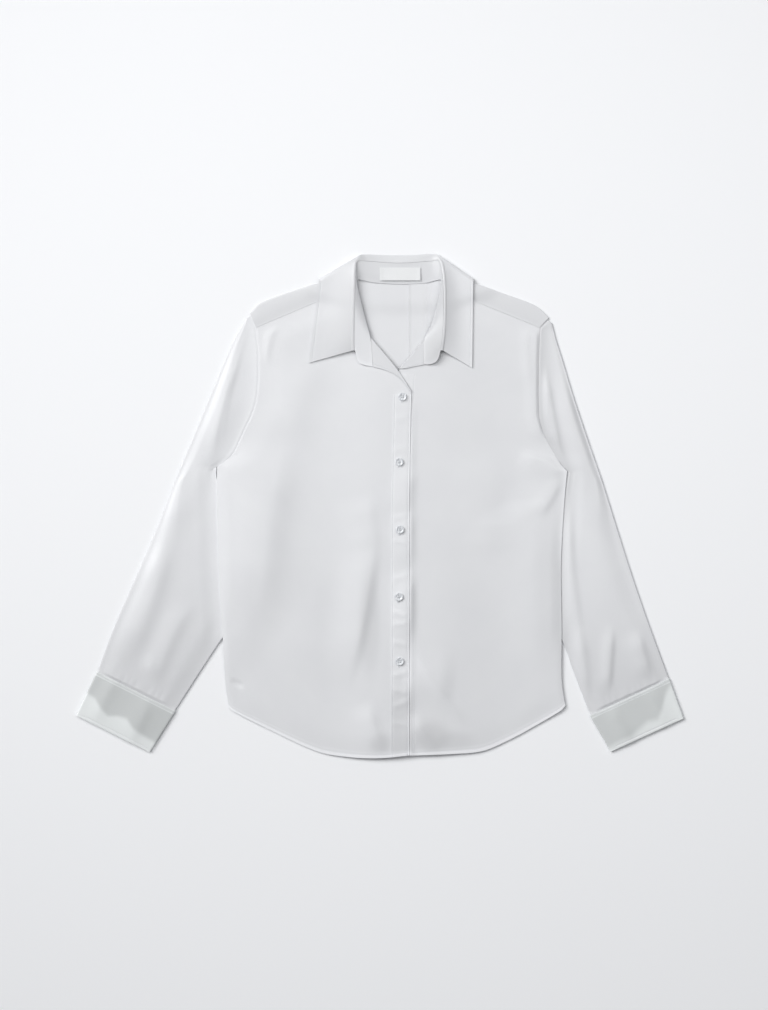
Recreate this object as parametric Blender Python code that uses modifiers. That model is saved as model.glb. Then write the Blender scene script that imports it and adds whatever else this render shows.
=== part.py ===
import math

import bmesh
import bpy
import numpy as np
from mathutils import Vector

# A woman's satin blouse laid flat on its back with the collar open.
# Right and left are the wearer's, so the right side lies at -X. Y runs to the collar, Z is up.
# Every number below is in millimetres, and MM turns it into metres.
MM = 0.001

CLOTH = 1.0        # wall of one layer of satin
DOUBLE = 1.4       # wall of the interfaced pieces: stand, fall and cuffs
GAP = 0.35         # air at a seam and between two layers
FLOOR_LAYER = CLOTH / 2
LAYER = CLOTH + GAP
LOFT = 1.1         # air between front and back away from the seams
LOFT_FROM_SIDE = 42.0       # over which that air opens, from a side seam
LOFT_FROM_SHOULDER = 36.0   # and from a shoulder seam
WELD = 0.02        # points closer than this are one

# Side outlines, each a short run of points (x, y).
SIDE_RIGHT = ((-239.4, -332), (-244, -301), (-248, -234), (-251, -182), (-254, -126), (-256, -42), (-256, 4))
SIDE_LEFT = ((231, -330), (226, -294), (226, -221), (225, -136), (227, -84), (231, -28), (233.8, -2))
ARMHOLE_RIGHT = ((-256, 4), (-235, 21), (-218.8, 53), (-201.6, 94), (-197.4, 154), (-201.6, 199.1))
ARMHOLE_LEFT = ((233.8, -2), (224, 9), (202, 47.6), (194, 75), (193.5, 150), (195.4, 199.1))
SHOULDER_TIP_RIGHT = (-209.5, 218.5)
SHOULDER_TIP_LEFT = (207.5, 212.5)

# Hems, the front's shirt tail and the back's, which is a little shorter.
HEM = ((-239.4, -332), (-233, -338), (-177, -366), (-115, -394), (-77, -401), (-34, -403), (17, -399.5),
       (76, -397), (116, -393), (154, -377), (185.5, -360), (225, -336.5), (231, -330))
BACK_HEM_RISE = 4.0

# Columns of the back on each side of its pleat, closer together towards the sides.
BACK_COLUMNS_RIGHT = (0, .05, .1, .17, .25, .33, .42, .51, .6, .69, .76, .84, .92, 1)
BACK_COLUMNS_LEFT = (0, .1, .2, .3, .4, .5, .6, .68, .755, .82, .88, .94, 1)
FRONT_COLUMNS = (0, .06, .12, .19, .27, .36, .46, .57, .68, .79, .9, 1)
HEM_REACH = 9          # rows over which a grid takes up the curve of its first or last row
FRONT_HEM_REACH = 8

# Neck and shoulders of the back, and the forward shoulder seams of the fronts.
SHOULDER_RIGHT = ((-209.5, 218.5), (-201.2, 227.6), (-193.8, 233.5), (-155, 248), (-113, 260.5), (-60.5, 266))
SHOULDER_LEFT = ((58.5, 266), (101, 260.5), (151, 243.9), (186, 230.8), (198, 222.5), (207.5, 212.5))
BACK_NECK_RIGHT = ((-60.5, 266), (-54, 262.8), (-25, 260), (8, 259))
BACK_NECK_LEFT = ((44, 261.3), (58.5, 266))
YOKE_SEAM_RIGHT = ((-201.6, 199.1), (-124.6, 231.7), (-60.5, 257.5))
YOKE_SEAM_LEFT = ((195.4, 199.1), (104, 236.3), (58.5, 257.5))
SHOULDER_STEPS_RIGHT = 9   # columns of the back that run along its shoulder, then along its neck
NECK_STEPS_RIGHT = 4
SHOULDER_STEPS_LEFT = 11
NECK_STEPS_LEFT = 1
NECK_SLANT_FROM = 150.0    # y from which the left half of the back rises to its own neck point
NECK_SLANT = 109.0

# Front edges, the lines where the top corners roll outwards, and the neck edges above them.
BAND = 25.0        # width of both button bands
EDGE_RIGHT = ((12.6, -399), (12.6, -60), (15.4, 109.2))
ROLL_RIGHT = ((15.4, 109.2), (-2.8, 137.6), (-40.6, 183.4))
NECK_RIGHT = ((-40.6, 183.4), (-48, 210), (-55, 238), (-60.5, 257.5))
LAPEL_EDGE_RIGHT = ((13.6, 110.2), (5.5, 121.5), (-4, 131), (-18.2, 138.6), (-37.8, 144.2))
EDGE_LEFT = ((-4.5, -398.5), (-4.5, -60), (-4.2, 122), (-0.5, 141.5))
ROLL_LEFT = ((-0.5, 141.5), (14, 158), (33.6, 182))
NECK_LEFT = ((33.6, 182), (45, 206), (52.5, 232), (58.5, 257.5))
LAPEL_EDGE_LEFT = ((1.6, 141.6), (8, 142), (18, 144.2), (32.2, 147))
LAPEL_RISE = CLOTH + GAP + 0.3   # from a front up to its turned-out corner
LAPEL_ROWS = (0, 0.35, 0.7, 1)
BAND_END_DRAW = 0.08   # a band ends a little below the roll
BAND_END_IN = 2.0

# The right front passes over the left one's band: where its rise starts and ends across the body and
# below the neck.
OVERLAP_X = -42.0
OVERLAP_RAMP = 26.0
OVERLAP_Y = 188.0
OVERLAP_FADE = 44.0

# Rows of the fronts: how many run along each stretch of the edges.
ROWS_SIDE = 13
ROWS_BAND = 4
ROWS_ROLL = 4
ROWS_NECK = 3
ROWS_ARMHOLE = ROWS_BAND + ROWS_ROLL + ROWS_NECK
SIDE_FRACTIONS = np.append(np.linspace(0, 0.945, ROWS_SIDE), 1.0)   # a short last row under the arm

# The back's one pleat, pressed flat from neck to hem: where its inner fold lies, its depth, and the
# stretch of the back's grid that it takes up.
PLEAT_X = 14.0
PLEAT_DEPTH = 17.0
PLEAT_START = 8.0
PLEAT_END = 44.0
PLEAT_BEND = LAYER / 2
PLEAT_FLAT = 3.0         # flat stretch of the top layer past the pleat's outer fold
PLEAT_LEAD_OVER = 40.0   # how far before the pleat the fronts start to rise over it
PLEAT_LEAD_UNDER = 24.0
PLEAT_RISE = 18.0
PLEAT_FALL = 16.0
PLEAT_PAST = 12.0

# Sleeves, a row per section below the underarm: outer edge x, y, and inner edge x, y. The inner edge
# first lies tucked beneath the body and comes out from under it near the cuff.
SLEEVE_RIGHT = (
    (-315.0, -18.0, -258.3, -20.0), (-318.5, -31.0, -246.0, -36.0), (-323.0, -44.0, -218.0, -60.0),
    (-330.0, -60.0, -197.0, -83.0), (-341.0, -85.0, -184.0, -109.0), (-354.0, -115.0, -188.0, -132.0),
    (-367.0, -146.0, -206.0, -172.0), (-382.0, -180.0, -227.0, -206.0), (-396.0, -212.0, -250.0, -236.0),
    (-409.0, -245.0, -280.0, -281.0), (-422.3, -281.6, -315.2, -335.6),
)
SLEEVE_LEFT = (
    (282.8, -18.0, 234.8, -26.0), (286.5, -30.0, 223.0, -42.0), (290.5, -43.0, 197.0, -58.0),
    (296.0, -60.0, 172.0, -77.0), (304.0, -86.0, 158.0, -103.0), (313.0, -114.0, 162.0, -131.0),
    (322.5, -144.0, 177.0, -165.0), (333.0, -177.0, 200.0, -201.0), (345.8, -212.0, 227.5, -238.0),
    (359.8, -250.0, 243.5, -281.0), (375.0, -291.4, 266.9, -341.6),
)
# Outer edges above that, from the shoulder tip.
SLEEVE_TOP_RIGHT = ((-214.5, 212.0), (-220, 201.0), (-231.0, 182.0), (-243.5, 154.0), (-277.5, 72.0),
                    (-315.0, -18.0))
SLEEVE_TOP_LEFT = ((211.5, 205.5), (217.5, 182.0), (226.3, 154.0), (243.3, 98.0), (262.0, 42.0),
                   (282.8, -18.0))
UNDERARM_GAP = 1.6      # air between body and sleeve at the underarm point
ARMHOLE_GAP = GAP + 0.1  # and along the armhole
HEAD_DROP = 3.5         # from the shoulder tip down to the top of the sleeve
SLEEVE_LAYERS = 1.55    # from the middle of the lower layer to the middle of the upper one
SLEEVE_LOFT = 2.4       # crown of the upper layer where nothing lies on it
SLEEVE_STEPS = 9
SLEEVE_EDGE_FLAT = 6.0  # flat beside the body, and the width over which the crown rises
SLEEVE_EDGE_RAMP = 26.0
SLEEVE_SHOULDER = 0.22  # share of the sleeve's width that rises from each fold

# Cuffs: their four corners x, y at the seam's outer and inner end and at the opening.
CUFF_RIGHT = ((-422.6, -282.5), (-315.3, -336.6), (-451.5, -344.1), (-351.3, -394.2))
CUFF_LEFT = ((375.3, -292.3), (266.9, -342.6), (395.5, -348.0), (296.2, -393.3))
CUFF_LAYERS = 2.6
CUFF_LOFT = 1.2
CUFF_STEPS = 8
CUFF_ROWS = 3
CUFF_SHOULDER = 0.3     # share of the cuff's width that rises from each fold

# Where the sleeve lies beneath the body, the back is lifted over it.
TUCK_MARGIN = 20.0
TUCK_RAMP = 30.0
TUCK_TOP_Y = 4.0      # above this height nothing is tucked
TUCK_TOP_OUT = 45.0
TUCK_AIR = 0.25
FOLD_LEAD = 0.25      # share of a fold's length over which it fades beyond each end
FOLD_FADE = 0.4

# Largest folds of the fronts and sleeves: x, y to x, y, half width, height.
FRONT_FOLDS = (
    (-36, -70, -52, -320, 26, 2.2),
    (-172, 195, -186, 120, 18, 1.8),
    (27, -262, 92, -352, 24, 2.0),
    (150, -20, 128, -150, 26, 1.6),
    (186, 40, 228, 2, 16, 1.5),
)
SLEEVE_FOLDS = (
    (-226, 135, -258, 40, 14, 2.0),
    (-330, -100, -372, -250, 22, 1.8),
    (215, 190, 232, 30, 13, 2.0),
    (240, -60, 268, -300, 18, 2.2),
    (290, -225, 289, -325, 12, 1.8),
    (330, -255, 334, -305, 12, 1.8),
)

# Collar: the stand's seam and its upper edge, and the fall's outer edge, from the right end to the left.
STAND_SEAM = (
    (-38.8, 144.8, 4.7), (-40.2, 164, 4.7), (-42.6, 184, 4.9), (-48.8, 210, 4.8), (-55.8, 238, 5.4),
    (-60.2, 256, 6.2), (-59.8, 265.6, 6.2), (-52, 265.4, 5.2), (-36, 262.2, 4.2), (4.2, 260.2, 3.6),
    (36, 261.9, 4.2), (50, 265.2, 5.2), (57.8, 265.6, 6.2), (58.2, 256, 6.2), (52.9, 232, 5.4),
    (45.8, 206, 4.8), (35.6, 183, 4.9), (34.0, 165, 4.7), (33.2, 147.4, 4.7),
)
STAND_TOP = (
    (-62.8, 167, 9.5), (-63.6, 180, 11.0), (-63.6, 196, 12.2), (-63.4, 216, 13.2), (-63.0, 240, 13.6),
    (-62.6, 262, 13.0), (-62.0, 279, 11.0), (-59.0, 291, 7.6), (-46, 291.6, 4.6), (0, 289.2, 4.2),
    (44, 291.8, 4.6), (54.5, 291.6, 8.0), (58.5, 280, 13.0), (60.2, 262, 16.5), (60.8, 240, 18.0),
    (60.6, 216, 18.0), (59.8, 196, 18.0), (58.4, 180, 17.0), (56.6, 167, 14.5),
)
STAND_END_RIGHT = ((-38.8, 144.8), (-49, 146.4), (-57.5, 150.5), (-62.8, 167))
STAND_END_LEFT = ((33.2, 147.4), (45.5, 148.6), (52.5, 154), (56.6, 167))
STAND_SEAT = CLOTH / 2 + GAP + 0.8   # from the middle of a front up to the stand's foot on it
STAND_ON_FRONT_Y = 258.0             # below this the foot lies on the fronts
STAND_END_REACH = 3
COLLAR_STEPS = 40
STAND_ROWS = 3

# The fall is worked out as a flat piece and folded round a line on each side, where it passes over
# the shoulder and goes in beneath the back.
FALL_TOP_CORNER_RIGHT = (-60.5, 294.0)
FALL_SIDE_CORNER_RIGHT = (-113.5, 263.8)
FALL_TIP_RIGHT = (-127.4, 149.8)
FALL_TOP_CORNER_LEFT = (56.5, 294.0)
FALL_SIDE_CORNER_LEFT = (102.2, 263.8)
FALL_TIP_LEFT = (100.8, 142.8)
FALL_BACK_EDGE_Y = 246.0
FALL_CROWN = 2.0
FALL_ROLL = 3.6      # width of the roll between the stand's upper edge and the fall
FALL_ROLL_OUT = 0.2  # how far the middle of the roll bulges outwards and upwards
FALL_ROLL_UP = 0.7
FALL_ROWS = 8
FALL_AIR = 0.3       # between the fronts and the fall, and in the seam above the stand
FALL_SEAM_GAP = GAP + DOUBLE / 2 + 0.1
FALL_RIDGE_DROP = 0.5
FALL_EDGE_MIDDLE = (0.4, 0.6, 215.0)   # shares of tip and side corner, and y, of the outer edge's middle
FALL_FRONT_Y = 256.0   # the fall lies on the fronts up to here
FALL_BACK_INSET = 2.0
FALL_BACK_DROP = 0.6
NECK_CENTRE_Y = 215.0

# Beneath the back's neck lies the fall's back part: its edge there rises towards the shoulders, and the
# back is lifted over it in a soft ramp.
FALL_EDGE_RISE = 16.0
FALL_EDGE_REACH = 108.0
NECK_LIFT = DOUBLE + GAP + 0.1
NECK_LIFT_LEAD = 32.0
NECK_LIFT_RAMP = 20.0
NECK_LIFT_HALF_WIDTH = 150.0
NECK_LIFT_FADE = 26.0

BUTTONS = ((3.5, 102.2), (-1.0, 11.2), (0.0, -83.4), (-1.5, -177.2), (-0.4, -267.4))
BUTTON_RADIUS = 5.6
BUTTON_HEIGHT = 2.2
BUTTON_HOLE_RADIUS = 0.8
BUTTON_HOLE_PLACE = 1.5
BUTTON_TURNS = 16
BUTTON_HOLE_SIDES = 6
# Half of the button's section, radius and height, from the dished middle over the rim to the base.
BUTTON_SECTION = ((0, BUTTON_HEIGHT - 0.7), (3.0, BUTTON_HEIGHT - 0.6), (4.2, BUTTON_HEIGHT),
                  (5.1, BUTTON_HEIGHT - 0.15), (BUTTON_RADIUS, BUTTON_HEIGHT - 0.8), (5.2, 0.4),
                  (4.2, 0), (0, 0))
BUTTON_REACH = 6.0       # the button sits on the highest cloth within this distance
STAND_BUTTON = (45.2, 161.5)
STAND_BUTTON_NEAR = 6    # points of the stand that give its slope there
STAND_BUTTON_AIR = 0.1

LABEL_HALF_WIDTH = 28.5
LABEL_Y = (265.0, 283.0)
LABEL_WALL = 1.0
LABEL_COLUMNS = 7
LABEL_REACH = 6.0        # the stand's stretch that carries the label goes this far past its ends
LABEL_FOOT = 10.0

SLEEVE_BODY_RIGHT = SIDE_RIGHT + ARMHOLE_RIGHT[1:]
SLEEVE_BODY_LEFT = SIDE_LEFT + ARMHOLE_LEFT[1:]
SHOULDER_SEAM_BOTH = YOKE_SEAM_RIGHT + YOKE_SEAM_LEFT[::-1]


def smoothstep(t):
    t = np.clip(t, 0.0, 1.0)
    return t * t * (3 - 2 * t)


def run(points, steps, rounded=True):
    """steps + 1 points at even distances along a curve through the given ones."""
    points = np.array(points, dtype=float)
    fine = [points[0]]
    for i in range(len(points) - 1):
        before = points[max(i - 1, 0)]
        after = points[min(i + 2, len(points) - 1)]
        start, end = points[i], points[i + 1]
        span = np.linalg.norm(end - start)
        lean_in = (end - before) / max(np.linalg.norm(end - before), 1e-6) * span
        lean_out = (after - start) / max(np.linalg.norm(after - start), 1e-6) * span
        for t in np.linspace(0, 1, 17)[1:]:
            if rounded:
                a, b = 2 * t**3 - 3 * t**2 + 1, t**3 - 2 * t**2 + t
                c, d = -2 * t**3 + 3 * t**2, t**3 - t**2
                fine.append(a * start + b * lean_in + c * end + d * lean_out)
            else:
                fine.append(start + (end - start) * t)
    fine = np.array(fine)
    lengths = np.concatenate([[0], np.cumsum(np.linalg.norm(np.diff(fine, axis=0), axis=1))])
    places = np.linspace(0, lengths[-1], steps + 1)
    return np.stack([np.interp(places, lengths, fine[:, k]) for k in range(fine.shape[1])], axis=1)


def at_fractions(points, fractions):
    """Points on a polyline at fractions of its length."""
    points = np.array(points, dtype=float)
    lengths = np.concatenate([[0], np.cumsum(np.linalg.norm(np.diff(points, axis=0), axis=1))])
    places = np.array(fractions) * lengths[-1]
    return np.stack([np.interp(places, lengths, points[:, k]) for k in range(points.shape[1])], axis=1)


def across(line, y):
    """x of a line of points at height y."""
    return np.interp(y, [p[1] for p in line], [p[0] for p in line])


def loft(first, last, fractions, start=None, end=None, reach=HEM_REACH):
    """Grid of points between two long edges, whose first and last rows may be bent to given curves."""
    grid = np.stack([first + (last - first) * w for w in fractions], axis=1)
    rows = np.arange(len(first))
    if start is not None:
        fade = np.clip(1 - rows / reach, 0, 1) ** 2
        grid = grid + fade[:, None, None] * (start - grid[0])[None]
    if end is not None:
        fade = np.clip(1 - rows[::-1] / reach, 0, 1) ** 2
        grid = grid + fade[:, None, None] * (end - grid[-1])[None]
    return grid


def tuck_edge(sleeve, y):
    """x of the sleeve's hidden inner edge at height y, and far outside where nothing is tucked."""
    side = np.sign(sleeve[0][2])
    known_y = [TUCK_TOP_Y] + [row[3] for row in sleeve]
    known_x = [sleeve[0][2] + side * TUCK_TOP_OUT] + [row[2] for row in sleeve]
    return np.interp(y, known_y[::-1], known_x[::-1])


def height_back(x, y):
    """Middle of the back's wall: on the surface, over the tucked sleeves and over the fall at the neck."""
    over_sleeve = SLEEVE_LAYERS + CLOTH + GAP + TUCK_AIR
    right = smoothstep((tuck_edge(SLEEVE_RIGHT, y) + TUCK_MARGIN + TUCK_RAMP - x) / TUCK_RAMP)
    left = smoothstep((x - tuck_edge(SLEEVE_LEFT, y) + TUCK_MARGIN + TUCK_RAMP) / TUCK_RAMP)
    fall_edge = FALL_BACK_EDGE_Y + FALL_EDGE_RISE * (x / FALL_EDGE_REACH) ** 2
    neck = smoothstep((y - fall_edge + NECK_LIFT_LEAD) / NECK_LIFT_RAMP)
    neck = neck * smoothstep((NECK_LIFT_HALF_WIDTH - np.abs(x)) / NECK_LIFT_FADE)
    return FLOOR_LAYER + over_sleeve * np.maximum(right, left) + NECK_LIFT * neck


def pleat_stack(x, over):
    """Height that the pleat's two extra layers add beneath the fronts."""
    start = PLEAT_START - (PLEAT_LEAD_OVER if over else PLEAT_LEAD_UNDER)
    risen = smoothstep((x - start) / PLEAT_RISE)
    return 2 * LAYER * risen * smoothstep((PLEAT_END + PLEAT_PAST - x) / PLEAT_FALL)


def folds(table, x, y):
    height = np.zeros_like(np.asarray(x, dtype=float))
    for x0, y0, x1, y1, half_width, rise in table:
        along_x, along_y = x1 - x0, y1 - y0
        length = math.hypot(along_x, along_y)
        t = ((x - x0) * along_x + (y - y0) * along_y) / length**2
        off = ((x - x0) * along_y - (y - y0) * along_x) / length
        ends = smoothstep((t + FOLD_LEAD) / FOLD_FADE) * smoothstep((1 + FOLD_LEAD - t) / FOLD_FADE)
        height = height + rise * ends * np.exp(-((off / half_width) ** 2))
    return height


def height_front(x, y, over=False):
    """Middle of a front's wall. The right front also passes over the left front's band."""
    from_side = np.minimum(x - across(SLEEVE_BODY_RIGHT, y), across(SLEEVE_BODY_LEFT, y) - x)
    shoulder = np.interp(x, [p[0] for p in SHOULDER_SEAM_BOTH], [p[1] for p in SHOULDER_SEAM_BOTH])
    free = smoothstep(from_side / LOFT_FROM_SIDE) * smoothstep((shoulder - y) / LOFT_FROM_SHOULDER)
    height = height_back(x, y) + LAYER + pleat_stack(x, over) + free * (LOFT + folds(FRONT_FOLDS, x, y))
    if over:
        passed = smoothstep((x - OVERLAP_X) / OVERLAP_RAMP) * smoothstep((OVERLAP_Y - y) / OVERLAP_FADE)
        height = height + 2 * LAYER * passed
    return height


def top_of_fronts(x, y):
    """A height that is clear of the fronts everywhere, for what lies on them near the neck."""
    return height_front(x, y) + CLOTH / 2 + GAP


def with_height(grid, height):
    return np.dstack([grid, height(grid[..., 0], grid[..., 1])])


def sheet(name, grids, wall, finish):
    """One piece of cloth: grids that share their border points, welded and given a wall."""
    points, faces = [], []
    for grid in grids:
        rows, columns = grid.shape[:2]
        base = len(points)
        points.extend(grid.reshape(-1, 3) * MM)
        for i in range(rows - 1):
            for j in range(columns - 1):
                a = base + i * columns + j
                faces.append((a, a + 1, a + columns + 1, a + columns))
    mesh = bpy.data.meshes.new(name)
    mesh.from_pydata([tuple(p) for p in points], [], faces)
    welded = bmesh.new()
    welded.from_mesh(mesh)
    bmesh.ops.remove_doubles(welded, verts=welded.verts, dist=WELD * MM)
    bmesh.ops.recalc_face_normals(welded, faces=welded.faces)
    welded.to_mesh(mesh)
    welded.free()
    mesh.shade_smooth()
    piece = bpy.data.objects.new(name, mesh)
    garment.objects.link(piece)
    solidify = piece.modifiers.new("wall", "SOLIDIFY")
    solidify.thickness = wall * MM
    solidify.offset = 0.0
    mesh.materials.append(finish)


def material(name, colour, roughness):
    made = bpy.data.materials.new(name)
    made.use_nodes = True
    shader = made.node_tree.nodes["Principled BSDF"]
    shader.inputs["Base Color"].default_value = (*colour, 1.0)
    shader.inputs["Roughness"].default_value = roughness
    shader.inputs["Metallic"].default_value = 0.0
    made.diffuse_color = (*colour, 1.0)
    return made


def half_bend(line, outward, z_from, z_to, steps=3):
    """Rows round a fold: from the line at one height to the same line at the other."""
    radius = (z_to - z_from) / 2
    rows = []
    for k in range(steps + 1):
        angle = math.pi * k / steps
        row = np.empty((len(line), 3))
        row[:, :2] = line + outward * (np.abs(radius) * math.sin(angle))[:, None]
        row[:, 2] = z_from + radius * (1 - math.cos(angle))
        rows.append(row)
    return np.array(rows)


def outward_of(line, towards):
    """Unit normals of a line in plan, on the side of the given direction."""
    tangent = np.gradient(line, axis=0)
    normal = np.stack([tangent[:, 1], -tangent[:, 0]], axis=1)
    normal /= np.linalg.norm(normal, axis=1)[:, None]
    flip = np.sign(normal @ np.array(towards, dtype=float))
    return normal * flip[:, None]


def side_rows(side, armhole):
    lower = at_fractions(run(side, 60), SIDE_FRACTIONS)
    upper = run(armhole, ROWS_ARMHOLE)
    return np.vstack([lower, upper[1:]])


def make_back():
    side_right = np.vstack([side_rows(SIDE_RIGHT, ARMHOLE_RIGHT), [SHOULDER_TIP_RIGHT]])
    side_left = np.vstack([side_rows(SIDE_LEFT, ARMHOLE_LEFT), [SHOULDER_TIP_LEFT]])
    side_right[0, 1] += BACK_HEM_RISE
    side_left[0, 1] += BACK_HEM_RISE
    rows = len(side_right)
    hem = np.array(HEM) + (0, BACK_HEM_RISE)
    hem_at = lambda x: np.interp(x, hem[:, 0], hem[:, 1])
    lower = hem_at(PLEAT_START) - hem_at(PLEAT_START) * SIDE_FRACTIONS
    upper = np.linspace(0, BACK_NECK_RIGHT[-1][1], rows - ROWS_SIDE)
    middle_y = np.concatenate([lower, upper[1:]])

    spine_right = np.stack([np.full(rows, PLEAT_START), middle_y], axis=1)
    neck_step = BACK_NECK_LEFT[0][1] - BACK_NECK_RIGHT[-1][1]
    right_y = middle_y + neck_step * smoothstep((middle_y - NECK_SLANT_FROM) / NECK_SLANT)
    right_y[0] = hem_at(PLEAT_END)
    spine_left = np.stack([np.full(rows, PLEAT_END), right_y], axis=1)

    top_right = np.vstack([run(SHOULDER_RIGHT, SHOULDER_STEPS_RIGHT),
                           run(BACK_NECK_RIGHT, NECK_STEPS_RIGHT)[1:]])
    top_left = np.vstack([run(BACK_NECK_LEFT, NECK_STEPS_LEFT),
                          run(SHOULDER_LEFT, SHOULDER_STEPS_LEFT)[1:]])

    def hem_row(first_x, last_x, fractions):
        x = first_x + (last_x - first_x) * np.array(fractions)
        return np.stack([x, hem_at(x)], axis=1)

    hem_right = hem_row(side_right[0, 0], PLEAT_START, BACK_COLUMNS_RIGHT)
    hem_left = hem_row(PLEAT_END, side_left[0, 0], BACK_COLUMNS_LEFT)
    spine_left[-1] = top_left[0]
    grid_right = loft(side_right, spine_right, BACK_COLUMNS_RIGHT, hem_right, top_right)
    grid_left = loft(spine_left, side_left, BACK_COLUMNS_LEFT, hem_left, top_left)

    inner, outer = PLEAT_X, PLEAT_X + PLEAT_DEPTH
    pleat_x = np.array([PLEAT_START, outer, outer + 0.7 * PLEAT_BEND, outer + PLEAT_BEND,
                        outer + 0.7 * PLEAT_BEND, outer, inner, inner - 0.7 * PLEAT_BEND,
                        inner - PLEAT_BEND, inner - 0.7 * PLEAT_BEND, inner, outer + PLEAT_FLAT, PLEAT_END])
    pleat_z = np.array([0, 0, 0.15, 0.5, 0.85, 1, 1, 1.15, 1.5, 1.85, 2, 2, 0]) * LAYER
    share = (pleat_x - PLEAT_START) / (PLEAT_END - PLEAT_START)
    pleat_y = spine_right[:, 1:] + (spine_left[:, 1:] - spine_right[:, 1:]) * share[None, :]
    from_right = height_back(spine_right[:, :1], spine_right[:, 1:])
    from_left = height_back(spine_left[:, :1], spine_left[:, 1:])
    pleat = np.dstack([np.broadcast_to(pleat_x, pleat_y.shape), pleat_y,
                       from_right + (from_left - from_right) * share[None, :] + pleat_z])

    flaps = []
    for line, seam, towards in (
        (grid_right[-1, :SHOULDER_STEPS_RIGHT + 1], YOKE_SEAM_RIGHT, (-0.3, 1)),
        (grid_left[-1, NECK_STEPS_LEFT:], YOKE_SEAM_LEFT[::-1], (0.3, 1)),
    ):
        low = height_back(line[:, 0], line[:, 1])
        high = low + LAYER
        bend = half_bend(line, outward_of(line, towards), low, high)
        seam_line = run(seam, len(line) - 1, rounded=False)
        seam_line = seam_line + np.array([0, GAP])
        flap = np.stack([line + (seam_line - line) * t for t in (0, 0.5, 1)])
        flap = np.dstack([flap, height_back(flap[..., 0], flap[..., 1]) + LAYER])
        flaps += [bend, flap]
    pieces = [with_height(grid_right, height_back), pleat, with_height(grid_left, height_back)]
    sheet("back", pieces + flaps, CLOTH, satin)


def make_front(name, side, armhole, edge, roll, neck, lapel_edge, seam, over, sign):
    """A front with its band strip along the edge and its top corner rolled outwards."""
    side_line = side_rows(side, armhole)
    below_arm = SIDE_FRACTIONS * ROWS_SIDE / (ROWS_SIDE + ROWS_BAND)
    above_arm = np.linspace(below_arm[-1], 1, ROWS_BAND + 1)
    edge_line = np.vstack([at_fractions(edge, np.append(below_arm, above_arm[1:])),
                           run(roll, ROWS_ROLL)[1:], run(neck, ROWS_NECK)[1:]])
    strip_line = edge_line + np.array([-sign * BAND, 0.0])
    hem = np.array(HEM)
    hem_x = side_line[0, 0] + (strip_line[0, 0] - side_line[0, 0]) * np.array(FRONT_COLUMNS)
    hem_row = np.stack([hem_x, np.interp(hem_x, hem[:, 0], hem[:, 1])], axis=1)
    hem_row[0] = side_line[0]
    strip_line[0, 1] = hem_row[-1, 1]
    neck_end = np.array(neck[-1])
    seam_end = neck_end + (np.array(seam[1]) - neck_end) * (BAND / np.linalg.norm(np.array(seam[1]) - neck_end))
    strip_line[-1] = seam_end
    strip_line[-2] = (strip_line[-1] + strip_line[-3]) / 2
    top_row = at_fractions((seam[0], seam[1], seam_end), FRONT_COLUMNS)
    body = loft(side_line, strip_line, FRONT_COLUMNS, hem_row, top_row, FRONT_HEM_REACH)
    strip = np.stack([strip_line + (edge_line - strip_line) * t for t in (0, 0.5, 1)], axis=1)

    height = lambda x, y: height_front(x, y, over)
    lapel_rows = slice(ROWS_SIDE + ROWS_BAND, ROWS_SIDE + ROWS_BAND + ROWS_ROLL + 1)
    roll_line = edge_line[lapel_rows]
    low = height(roll_line[:, 0], roll_line[:, 1])
    bend = half_bend(roll_line, outward_of(roll_line, (sign, 1)), low, low + LAPEL_RISE)
    tips = run(lapel_edge, ROWS_ROLL)
    lapel = np.stack([roll_line + (tips - roll_line) * t for t in LAPEL_ROWS])
    lapel_height = height(lapel[..., 0], lapel[..., 1]) + LAPEL_RISE
    lapel_height[0] = low + LAPEL_RISE
    lapel = np.dstack([lapel, lapel_height])
    sheet(name, [with_height(body, height), with_height(strip, height), bend, lapel], CLOTH, satin)

    band = with_height(strip, height)[: ROWS_SIDE + ROWS_BAND + 1]
    band[-1] += (band[-2] - band[-1]) * BAND_END_DRAW
    band[-1, -1, 0] -= sign * BAND_END_IN
    band[..., 2] += LAYER
    return band


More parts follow.
